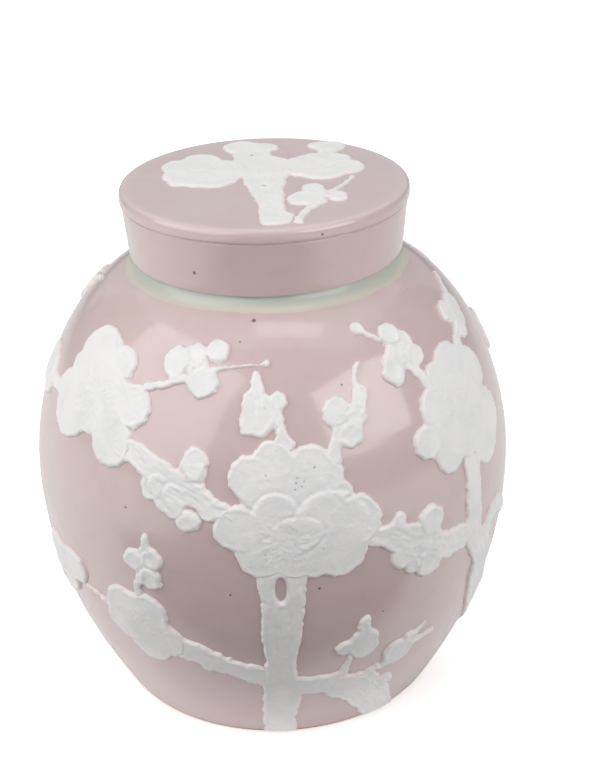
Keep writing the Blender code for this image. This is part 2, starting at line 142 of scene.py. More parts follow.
def geometry_tree(name, sockets):
    """An empty Geometry Nodes tree with a Geometry socket and named inputs."""
    tree = bpy.data.node_groups.new(name, "GeometryNodeTree")
    tree.is_modifier = True
    tree.interface.new_socket("Geometry", in_out="INPUT", socket_type="NodeSocketGeometry")
    for label, kind, value in sockets:
        socket = tree.interface.new_socket(label, in_out="INPUT", socket_type=kind)
        if value is not None:
            socket.default_value = value
    tree.interface.new_socket("Geometry", in_out="OUTPUT", socket_type="NodeSocketGeometry")
    return tree, tree.nodes.new("NodeGroupInput").outputs


def finish_geometry(tree, geometry, material):
    """The tree's end: real geometry, smooth, in its finish."""
    real = tree_node(tree, "GeometryNodeRealizeInstances", {"Geometry": geometry})
    smooth = tree_node(tree, "GeometryNodeSetShadeSmooth", {"Geometry": real.outputs[0]})
    painted = tree_node(tree, "GeometryNodeSetMaterial", {
        "Geometry": smooth.outputs[0], "Material": material,
    })
    tree_node(tree, "NodeGroupOutput", {"Geometry": painted.outputs[0]})


def turned_tree():
    """Turns a profile, drawn in X and Z, about the Z axis, with the thrower's faint rings."""
    tree, given = geometry_tree("turned_form", [
        ("Facets", "NodeSocketInt", FACETS),
        ("Ring Depth", "NodeSocketFloat", 0.0),
        ("Ring Pitch", "NodeSocketFloat", 0.01),
        ("Weld", "NodeSocketFloat", 0.00001),
        ("Glaze", "NodeSocketMaterial", None),
    ])
    hub = 0.05
    profile = tree_node(tree, "GeometryNodeMeshToCurve", {"Mesh": given["Geometry"]})
    place = tree_node(tree, "GeometryNodeInputPosition")
    parts = tree_node(tree, "ShaderNodeSeparateXYZ", {0: place.outputs[0]})
    across = maths(tree, "SUBTRACT", parts.outputs["X"], hub)
    down = maths(tree, "MULTIPLY", parts.outputs["Z"], -1.0)
    flat = tree_node(tree, "ShaderNodeCombineXYZ", {"X": across, "Y": down})
    section = tree_node(tree, "GeometryNodeSetPosition", {
        "Geometry": profile.outputs[0], "Position": flat.outputs[0],
    })
    circle = tree_node(tree, "GeometryNodeCurvePrimitiveCircle", {
        "Resolution": given["Facets"], "Radius": hub,
    })
    swept = tree_node(tree, "GeometryNodeCurveToMesh", {
        "Curve": circle.outputs[0], "Profile Curve": section.outputs[0],
    })
    welded = tree_node(tree, "GeometryNodeMergeByDistance", {
        "Geometry": swept.outputs[0], "Distance": given["Weld"],
    })
    turns = maths(tree, "DIVIDE", parts.outputs["Z"], given["Ring Pitch"])
    drift = tree_node(tree, "ShaderNodeCombineXYZ", {
        "X": maths(tree, "MULTIPLY", parts.outputs["X"], 9.0),
        "Y": maths(tree, "MULTIPLY", parts.outputs["Y"], 9.0),
        "Z": turns,
    })
    rings = tree_node(tree, "ShaderNodeTexNoise", {"Vector": drift.outputs[0], "Scale": 1.0, "Detail": 2.0})
    above_foot = maths(tree, "DIVIDE", maths(tree, "SUBTRACT", parts.outputs["Z"], 0.003), 0.01, clamp=True)
    depth = maths(tree, "MULTIPLY", maths(tree, "SUBTRACT", rings.outputs[0], 0.3), given["Ring Depth"])
    depth = maths(tree, "MULTIPLY", depth, above_foot)
    normal = tree_node(tree, "GeometryNodeInputNormal")
    push = vector_maths(tree, "SCALE", normal.outputs[0], depth)
    ringed = tree_node(tree, "GeometryNodeSetPosition", {"Geometry": welded.outputs[0], "Offset": push})
    finish_geometry(tree, ringed.outputs[0], given["Glaze"])
    return tree


def laid_tree():
    """Lays a flat slip patch on the jar's wall: x goes round, y goes up the wall's plan, z stands off it."""
    tree, given = geometry_tree("laid_on_wall", [
        ("Wall", "NodeSocketObject", None),
        ("Plan Radius", "NodeSocketFloat", PLAN_RADIUS * MM),
        ("Plan Low", "NodeSocketFloat", 0.0),
        ("Plan Step", "NodeSocketFloat", PLAN_STEP * MM),
        ("Turn", "NodeSocketFloat", 0.0),
        ("Slip", "NodeSocketMaterial", None),
    ])
    wall = tree_node(tree, "GeometryNodeObjectInfo", {"Object": given["Wall"]})
    place = tree_node(tree, "GeometryNodeInputPosition")
    parts = tree_node(tree, "ShaderNodeSeparateXYZ", {0: place.outputs[0]})
    rise = maths(tree, "SUBTRACT", parts.outputs["Y"], given["Plan Low"])
    rise = maths(tree, "DIVIDE", rise, given["Plan Step"])
    row = maths(tree, "FLOOR", rise)
    share = maths(tree, "SUBTRACT", rise, row)

    def wall_point(index):
        sample = tree_node(tree, "GeometryNodeSampleIndex", {
            "Geometry": wall.outputs["Geometry"], "Value": place.outputs[0], "Index": index,
        }, data_type="FLOAT_VECTOR", domain="POINT", clamp=True)
        return sample.outputs["Value"]

    below = wall_point(row)
    above = wall_point(maths(tree, "ADD", row, 1.0))
    step = vector_maths(tree, "SUBTRACT", above, below)
    spot = vector_maths(tree, "ADD", below, vector_maths(tree, "SCALE", step, share))
    out = vector_maths(tree, "NORMALIZE", vector_maths(tree, "CROSS_PRODUCT", (0.0, 1.0, 0.0), step))
    lifted = vector_maths(tree, "ADD", spot, vector_maths(tree, "SCALE", out, parts.outputs["Z"]))
    section = tree_node(tree, "ShaderNodeSeparateXYZ", {0: lifted})
    angle = maths(tree, "ADD", maths(tree, "DIVIDE", parts.outputs["X"], given["Plan Radius"]), given["Turn"])
    radius = section.outputs["X"]
    laid = tree_node(tree, "ShaderNodeCombineXYZ", {
        "X": maths(tree, "MULTIPLY", radius, maths(tree, "SINE", angle)),
        "Y": maths(tree, "MULTIPLY", radius, maths(tree, "MULTIPLY", maths(tree, "COSINE", angle), -1.0)),
        "Z": section.outputs["Z"],
    })
    moved = tree_node(tree, "GeometryNodeSetPosition", {
        "Geometry": given["Geometry"], "Position": laid.outputs[0],
    })
    finish_geometry(tree, moved.outputs[0], given["Slip"])
    return tree


def through_tree(piece, tree, values):
    """Runs a piece through a tree and keeps the result as its plain mesh."""
    modifier = piece.modifiers.new(tree.name, "NODES")
    modifier.node_group = tree
    sockets = {item.name: item.identifier for item in tree.interface.items_tree if item.in_out == "INPUT"}
    for label, value in values.items():
        modifier[sockets[label]] = value
    graph = bpy.context.evaluated_depsgraph_get()
    mesh = bpy.data.meshes.new_from_object(piece.evaluated_get(graph), depsgraph=graph)
    piece.modifiers.remove(modifier)
    raw = piece.data
    piece.data = mesh
    bpy.data.meshes.remove(raw)
    mesh.name = piece.name
    return piece


# ---------------------------------------------------------------- turned profiles

def bezier(start, handle_a, handle_b, end, count):
    t = np.linspace(0.0, 1.0, count)[:, None]
    start, handle_a, handle_b, end = (np.asarray(p, float) for p in (start, handle_a, handle_b, end))
    return (1 - t) ** 3 * start + 3 * (1 - t) ** 2 * t * handle_a + 3 * (1 - t) * t**2 * handle_b + t**3 * end


def arc(centre, radius, start, end, count):
    angles = np.radians(np.linspace(start, end, count))
    return np.column_stack([centre[0] + radius * np.cos(angles), centre[1] + radius * np.sin(angles)])


def evenly_spaced(curve, count):
    length = np.concatenate([[0.0], np.cumsum(np.hypot(*np.diff(curve, axis=0).T))])
    wanted = np.linspace(0.0, length[-1], count)
    return np.column_stack([np.interp(wanted, length, curve[:, 0]), np.interp(wanted, length, curve[:, 1])])


def wall_profile(rows):
    """Outer wall as (radius, height), from the foot to the shoulder ring."""
    foot = (FOOT_RADIUS, 0.0)
    belly = (BELLY_RADIUS, BELLY_HEIGHT)
    shoulder = (SHOULDER_RADIUS, SHOULDER_HEIGHT)
    foot_handle = (FOOT_RADIUS + FOOT_PULL * math.cos(FOOT_SLOPE), FOOT_PULL * math.sin(FOOT_SLOPE))
    shoulder_handle = (
        SHOULDER_RADIUS + SHOULDER_PULL * math.cos(SHOULDER_SLOPE),
        SHOULDER_HEIGHT - SHOULDER_PULL * math.sin(SHOULDER_SLOPE),
    )
    lower = bezier(foot, foot_handle, (BELLY_RADIUS, BELLY_HEIGHT - BELLY_PULL_DOWN), belly, 400)
    upper = bezier(belly, (BELLY_RADIUS, BELLY_HEIGHT + BELLY_PULL_UP), shoulder_handle, shoulder, 400)
    return np.vstack([evenly_spaced(lower, rows + 1), evenly_spaced(upper, rows + 1)[1:]])


def neck_profile(count):
    """From the shoulder ring round the fillet to the upright neck."""
    slope = SHOULDER_SLOPE
    start = (NECK_RADIUS + NECK_FILLET * (1 - math.sin(slope)), -NECK_FILLET * math.cos(slope))
    height = SHOULDER_HEIGHT + (SHOULDER_RADIUS - start[0]) * math.tan(slope) - start[1]
    return arc((NECK_RADIUS + NECK_FILLET, height), NECK_FILLET, 270 - math.degrees(slope), 180, count)


def inset(profile, amount):
    along = np.gradient(profile, axis=0)
    along /= np.linalg.norm(along, axis=1)[:, None]
    return profile + amount * np.column_stack([-along[:, 1], along[:, 0]])


def jar_outline():
    """The jar's whole section, from the middle of the foot recess to the middle of the floor inside."""
    foot_inner = FOOT_RADIUS - FOOT_RING_WIDTH
    recess = [(r, FOOT_RECESS) for r in np.linspace(0.0, foot_inner - 2.5, 12)]
    ring_in = arc((foot_inner + 0.8, 0.8), 0.8, 180, 270, 5)
    wall = wall_profile(84)
    wall = wall[wall[:, 1] > FOOT_BEVEL]
    corner = FOOT_RADIUS - FOOT_BEVEL * 0.9
    ring_out = arc((corner, FOOT_BEVEL), FOOT_BEVEL, 270, 340, 5)
    lip = arc((NECK_RADIUS - LIP_ROUND, NECK_TOP - LIP_ROUND), LIP_ROUND, 0, 180, 15)
    lip[8:, 0] -= NECK_WALL - 2 * LIP_ROUND
    neck = evenly_spaced(np.vstack([neck_profile(9)[-1:], lip[:1]]), 7)[1:-1]
    mouth = NECK_RADIUS - NECK_WALL
    throat_low = SHOULDER_HEIGHT + WALL
    floor_top = FOOT_RECESS + FLOOR_THICKNESS
    inner = inset(wall_profile(40), WALL)[::-1]
    inner = inner[(inner[:, 0] > mouth + 2.5) & (inner[:, 1] > floor_top + 7.0)]
    throat = bezier((mouth, throat_low), (mouth, throat_low - 6), inner[0] + (-5, 1.5), inner[0], 8)
    level = inner[-1][0] - 14
    turn = bezier(inner[-1], inner[-1] + (-2.5, -4), (inner[-1][0] - 5, floor_top), (level, floor_top), 9)
    floor = [(r, floor_top) for r in np.linspace(level, 0.0, 10)[1:]]
    bore = evenly_spaced(np.array([lip[-1], throat[0]]), 5)[1:-1]
    return np.vstack([
        recess, ring_in, ring_out, wall, neck_profile(14)[1:], neck, lip, bore, throat[:-1], inner,
        turn[1:], floor,
    ])


def cap_outline():
    """The cap's section, from the middle of the ceiling inside to the middle of the top."""
    bore = CAP_FOOT_RADIUS - CAP_WALL
    ceiling = CAP_TOP - CAP_CROWN
    step_height = CAP_TOP - CAP_STEP_DROP
    under_rim = CAP_RADIUS - CAP_STEP_DEPTH
    flare = (under_rim - CAP_FOOT_RADIUS) / (step_height - CAP_FOOT)
    inside = [(r, ceiling) for r in np.linspace(0.0, bore - 3.0, 10)]
    corner = arc((bore - 2.5, ceiling - 2.5), 2.5, 90, 0, 6)
    foot_in = [(bore, CAP_FOOT + 6), (bore, CAP_FOOT + 1.0), (bore + 0.3, CAP_FOOT + 0.3)]
    foot_centre = (CAP_FOOT_RADIUS - CAP_FOOT_ROUND, CAP_FOOT + CAP_FOOT_ROUND)
    foot = arc(foot_centre, CAP_FOOT_ROUND, 270, 360, 7)
    heights = np.linspace(CAP_FOOT + CAP_FOOT_ROUND + 1, step_height - 0.6, 16)
    wall = [(CAP_FOOT_RADIUS + flare * (z - CAP_FOOT), z) for z in heights]
    groove = (under_rim - 0.3, step_height)
    rim_foot = (CAP_RADIUS - 0.05, step_height + 1.0)
    step = bezier(wall[-1], (under_rim, step_height - 0.2), (under_rim - 0.3, step_height - 0.3), groove, 6)
    ledge_handle = (CAP_RADIUS - 0.2, step_height + 0.1)
    ledge = bezier(groove, (under_rim - 0.2, step_height + 0.3), ledge_handle, rim_foot, 7)
    rim_end = (CAP_RADIUS - 2.9, CAP_TOP)
    rim = bezier(rim_foot, (CAP_RADIUS + 0.05, CAP_TOP - 1.6), (CAP_RADIUS - 0.2, CAP_TOP), rim_end, 14)
    top = [(r, CAP_TOP) for r in np.linspace(CAP_RADIUS - 4.0, 0.0, 16)]
    return np.vstack([inside, corner[1:], foot_in, foot, wall, step[1:], ledge[1:], rim[1:], top])


def profile_object(name, outline):
    """A chain of points in X and Z for the turning tree."""
    mesh = bpy.data.meshes.new(name)
    points = [(r * MM, 0.0, z * MM) for r, z in outline]
    mesh.from_pydata(points, [(n, n + 1) for n in range(len(points) - 1)], [])
    piece = bpy.data.objects.new(name, mesh)
    bpy.context.scene.collection.objects.link(piece)
    return piece


def face_outwards(piece):
    """Normals out on a closed mesh, whatever way its tree turned them."""
    bm = bmesh.new()
    bm.from_mesh(piece.data)
    bmesh.ops.remove_doubles(bm, verts=bm.verts, dist=0.000002)
    bmesh.ops.recalc_face_normals(bm, faces=bm.faces)
    bm.to_mesh(piece.data)
    bm.free()


def turned_piece(name, outline, tree, glaze, ring_depth):
    piece = profile_object(name, outline)
    through_tree(piece, tree, {
        "Facets": FACETS, "Ring Depth": ring_depth * MM, "Ring Pitch": 0.011, "Weld": 0.00001, "Glaze": glaze,
    })
    face_outwards(piece)
    return piece


# ---------------------------------------------------------------- slip

def speckle(seed):
    """Smooth noise over the plan, from about -1 to 1, the same each run."""
    table = np.random.default_rng(seed).uniform(-1.0, 1.0, (64, 64))

    def noise(x, y, size):
        u, v = np.asarray(x) / size, np.asarray(y) / size
        i, j = np.floor(u).astype(int), np.floor(v).astype(int)
        a, b = u - i, v - j
        a, b = a * a * (3 - 2 * a), b * b * (3 - 2 * b)
        low = table[i % 64, j % 64] * (1 - a) + table[(i + 1) % 64, j % 64] * a
        high = table[i % 64, (j + 1) % 64] * (1 - a) + table[(i + 1) % 64, (j + 1) % 64] * a
        return low * (1 - b) + high * b

    return noise


def petal_distance(x, y, petal):
    """Distance to the outline of a petal (x, y, half width, half height), negative inside."""
    cx, cy, wide, high = petal[:4]
    dx, dy = (x - cx) / wide, (y - cy) / high
    reach = np.hypot(dx, dy)
    slope = np.hypot(dx / wide, dy / high)
    return np.where(slope > 1e-9, reach * (reach - 1.0) / np.maximum(slope, 1e-9), -min(wide, high))


def stroke_distance(x, y, stroke):
    """Distance to a stroke's outline, and how far along and across it a point lies."""
    best = np.full(np.shape(x), 1e3)
    along = np.zeros(np.shape(x))
    across = np.zeros(np.shape(x))
    done = 0.0
    for (ax, ay, aw), (bx, by, bw) in zip(stroke, stroke[1:]):
        ux, uy = bx - ax, by - ay
        length = math.hypot(ux, uy)
        share = np.clip(((x - ax) * ux + (y - ay) * uy) / length**2, 0.0, 1.0)
        away = np.hypot(x - ax - share * ux, y - ay - share * uy) - (aw + share * (bw - aw))
        side = ((x - ax) * -uy + (y - ay) * ux) / length
        near = away < best
        best = np.where(near, away, best)
        along = np.where(near, done + share * length, along)
        across = np.where(near, side, across)
        done += length
    return best, along, across


def dome(depth, round_width):
    """A slip edge's section: steep at the outline, level once it is in by the round's width."""
    share = np.clip(depth / round_width, 0.0, 1.0)
    return np.sqrt(np.clip(1.0 - (1.0 - share) ** 2, 0.0, 1.0))


def blend_up(a, b, soft):
    """The higher of two heights, with a soft join."""
    return 0.5 * (a + b + np.sqrt((a - b) ** 2 + soft * soft))


def outline_distance(x, y, shape, noise):
    """Distance to the whole piece's ragged outline, negative inside."""
    ragged = shape.get("ragged", 0.8)
    best = np.full(np.shape(x), 1e3)
    for petal in shape.get("petals", []):
        best = -blend_up(-best, -petal_distance(x, y, petal), SLIP_CORNER)
    for stroke in shape.get("strokes", []):
        best = -blend_up(-best, -stroke_distance(x, y, stroke)[0], SLIP_CORNER)
    torn = 0.6 * noise(x, y, 4.6) + 0.6 * noise(x + 31, y, 2.1) + 0.25 * noise(x, y + 31, 1.1)
    best = best + ragged * torn
    for hole in shape.get("holes", []):
        best = np.maximum(best, -petal_distance(x, y, hole))
    if shape.get("to_foot"):
        best = np.maximum(best, SLIP_FOOT_LINE - y + 0.5 * noise(x, y, 5.0))
    return best


def slip_height(x, y, shape, noise):
    """How far the slip stands off its ground, with its brush marks, swellings, folds, centre and pits."""
    edge = outline_distance(x, y, shape, noise)
    low = SLIP_THICKNESS * dome(-edge, SLIP_EDGE_ROUND)
    height = low + ROLLED_EDGE * np.exp(-(((-edge - 1.5) / 0.8) ** 2))
    for stroke in shape.get("strokes", []):
        away, along, across = stroke_distance(x, y, stroke)
        bristle = BRUSH_MARK * noise(across * 1.3 + 7, along * 0.3, 1.3)
        bristle = bristle + BRUSH_MARK_FINE * noise(across + 3, along, 1.6)
        height = height + bristle * np.clip(-away, 0, 1)
    for order, petal in enumerate(shape.get("petals", [])):
        away = petal_distance(x, y, petal) + 0.5 * noise(x + 11 * order, y, 4.2)
        reach = np.arctan2(y - petal[1], x - petal[0])
        brushed = noise(reach * 5.0 + order, np.hypot(x - petal[0], y - petal[1]) * 0.12, 0.22)
        height = height + PETAL_SWELL * dome(-away, 2.0)
        height = height + PETAL_BRUSH * brushed * np.clip(-away - 1.0, 0, 1)
    for order, fold in enumerate(shape.get("folds", [])):
        away = petal_distance(x, y, fold) + 0.8 * noise(x + 23 * order, y, 5.0)
        shows = np.clip(0.75 + np.cos(np.arctan2(y - fold[1], x - fold[0]) - math.radians(fold[4])), 0.0, 1.0)
        crest = SLIP_FOLD * dome(-away, 1.7) * np.clip(1.15 + 1.3 * away / min(fold[2:4]), 0.0, 1.0)
        furrow = FURROW * np.exp(-((np.maximum(away, 0.0) / 0.9) ** 2))
        height = height + shows * np.where(away < 0, crest - FURROW * (1 - dome(-away, 1.7)), -furrow)
    if "eye" in shape:
        ex, ey, reach = shape["eye"]
        gap = np.hypot(x - ex, y - ey)
        turn = np.arctan2(y - ey, x - ex)
        lines = noise(turn * 6.0, gap * 0.18, 0.30)
        height = height - EYE_HOLLOW * np.exp(-((gap / (0.30 * reach)) ** 2))
        height = height + EYE_LINES * lines * np.exp(-(((gap - 0.45 * reach) / (0.35 * reach)) ** 2))
    height = height + 0.09 * noise(x, y, 6.5) + 0.045 * noise(x + 17, y, 2.4) + 0.02 * noise(x, y + 9, 1.1)
    for px, py, pr in shape.get("pits", []):
        height = height - PIT_DEPTH * np.exp(-(np.hypot(x - px, y - py) / pr) ** 4)
    inner = np.clip(-edge / SLIP_EDGE_ROUND, 0.0, 1.0) ** 0.8
    return np.clip(low * (1 - inner) + height * inner, 0.0, SLIP_LIMIT) * shape.get("rise", 1.0)


def slip_window(shape):
    spots = [(p[0], p[1], max(p[2:4])) for p in shape.get("petals", [])]
    spots += [point for stroke in shape.get("strokes", []) for point in stroke]
    spots = np.array(spots, float)
    low = (spots[:, :2] - spots[:, 2:] - 2).min(axis=0)
    high = (spots[:, :2] + spots[:, 2:] + 2).max(axis=0)
    return low, high


def slip_patch(name, shape, seed):
    """A closed patch of slip on the flat plan: its face, its edge all round, and its back."""
    noise = speckle(seed)
    low, high = slip_window(shape)
    columns, rows = np.ceil((high - low) / SLIP_GRID).astype(int) + 1
    across, up = low[0] + np.arange(columns) * SLIP_GRID, low[1] + np.arange(rows) * SLIP_GRID
    x, y = np.meshgrid(across, up, indexing="ij")
    inside = outline_distance(x, y, shape, noise) < 0
    corners = (inside[:-1, :-1], inside[1:, :-1], inside[1:, 1:], inside[:-1, 1:])
    cells = largest_patch(corners[0] | corners[1] | corners[2] | corners[3])
    i, j = np.nonzero(cells)
    quads = np.stack([i * rows + j, (i + 1) * rows + j, (i + 1) * rows + j + 1, i * rows + j + 1], axis=1)
    used, quads = np.unique(quads, return_inverse=True)
    quads = quads.reshape(-1, 4)
    px, py = x.ravel()[used], y.ravel()[used]
    px, py = pulled_to_outline(px, py, shape, noise)
    depth = -outline_distance(px, py, shape, noise)
    top = slip_height(px, py, shape, noise) - SLIP_EDGE_SINK * np.exp(-np.clip(depth, 0, 9) / 0.35)
    count = len(used)
    sides = np.stack([quads, np.roll(quads, -1, axis=1)], axis=2).reshape(-1, 2)
    keys = sides[:, 0].astype(np.int64) * count + sides[:, 1]
    back_keys = sides[:, 1].astype(np.int64) * count + sides[:, 0]
    rim = sides[~np.isin(keys, back_keys)]
    skirt = np.stack([rim[:, 1], rim[:, 0], rim[:, 0] + count, rim[:, 1] + count], axis=1)
    faces = np.concatenate([quads, quads[:, ::-1] + count, skirt])
    points = np.concatenate([
        np.stack([px, py, top], axis=1),
        np.stack([px, py, np.full(count, -SLIP_ROOT)], axis=1),
    ]) * MM
    mesh = quad_mesh(name, points, faces)
    thin = mesh.attributes.new("slip_depth", "FLOAT", "POINT")
    thin.data.foreach_set("value", np.concatenate([np.clip(depth, 0, 9), np.zeros(count)]).astype(np.float32))
    piece = bpy.data.objects.new(name, mesh)
    bpy.context.scene.collection.objects.link(piece)
    return piece


def largest_patch(cells):
    """Keeps the largest joined patch of grid cells, and fills in where two only share a corner."""
    labels = np.zeros(cells.shape, int)
    sizes = [0]
    for start in zip(*np.nonzero(cells)):
        if labels[start]:
            continue
        sizes.append(0)
        stack = [start]
        labels[start] = len(sizes) - 1
        while stack:
            a, b = stack.pop()
            sizes[-1] += 1
            for near in ((a + 1, b), (a - 1, b), (a, b + 1), (a, b - 1)):
                if 0 <= near[0] < cells.shape[0] and 0 <= near[1] < cells.shape[1]:
                    if cells[near] and not labels[near]:
                        labels[near] = len(sizes) - 1
                        stack.append(near)
    kept = labels == int(np.argmax(sizes))
    one, two = kept[:-1, :-1] & kept[1:, 1:], kept[1:, :-1] & kept[:-1, 1:]
    only_one = one & ~kept[1:, :-1] & ~kept[:-1, 1:]
    only_two = two & ~kept[:-1, :-1] & ~kept[1:, 1:]
    kept[1:, :-1] |= only_one
    kept[:-1, :-1] |= only_two
    return kept


def pulled_to_outline(x, y, shape, noise):
    """Moves the outermost points of a patch onto its outline."""
    probe = 0.05
    for _ in range(3):
        away = outline_distance(x, y, shape, noise)
        right, left = (outline_distance(x + move, y, shape, noise) for move in (probe, -probe))
        above, below = (outline_distance(x, y + move, shape, noise) for move in (probe, -probe))
        gx, gy = (right - left) / (2 * probe), (above - below) / (2 * probe)
        size = np.maximum(gx * gx + gy * gy, 0.3)
        step = np.where(away > 0, away / size, 0.0)
        step = np.clip(step, 0.0, 0.5 * SLIP_GRID)
        x, y = x - step * gx, y - step * gy
    return x, y


def quad_mesh(name, points, faces):
    mesh = bpy.data.meshes.new(name)
    mesh.vertices.add(len(points))
    mesh.vertices.foreach_set("co", points.astype(np.float32).ravel())
    mesh.loops.add(faces.size)
    mesh.loops.foreach_set("vertex_index", faces.astype(np.int32).ravel())
    mesh.polygons.add(len(faces))
    mesh.polygons.foreach_set("loop_start", np.arange(0, faces.size, 4, dtype=np.int32))
    mesh.update(calc_edges=True)
    mesh.validate()
    mesh.polygons.foreach_set("use_smooth", np.ones(len(mesh.polygons), bool))
    return mesh


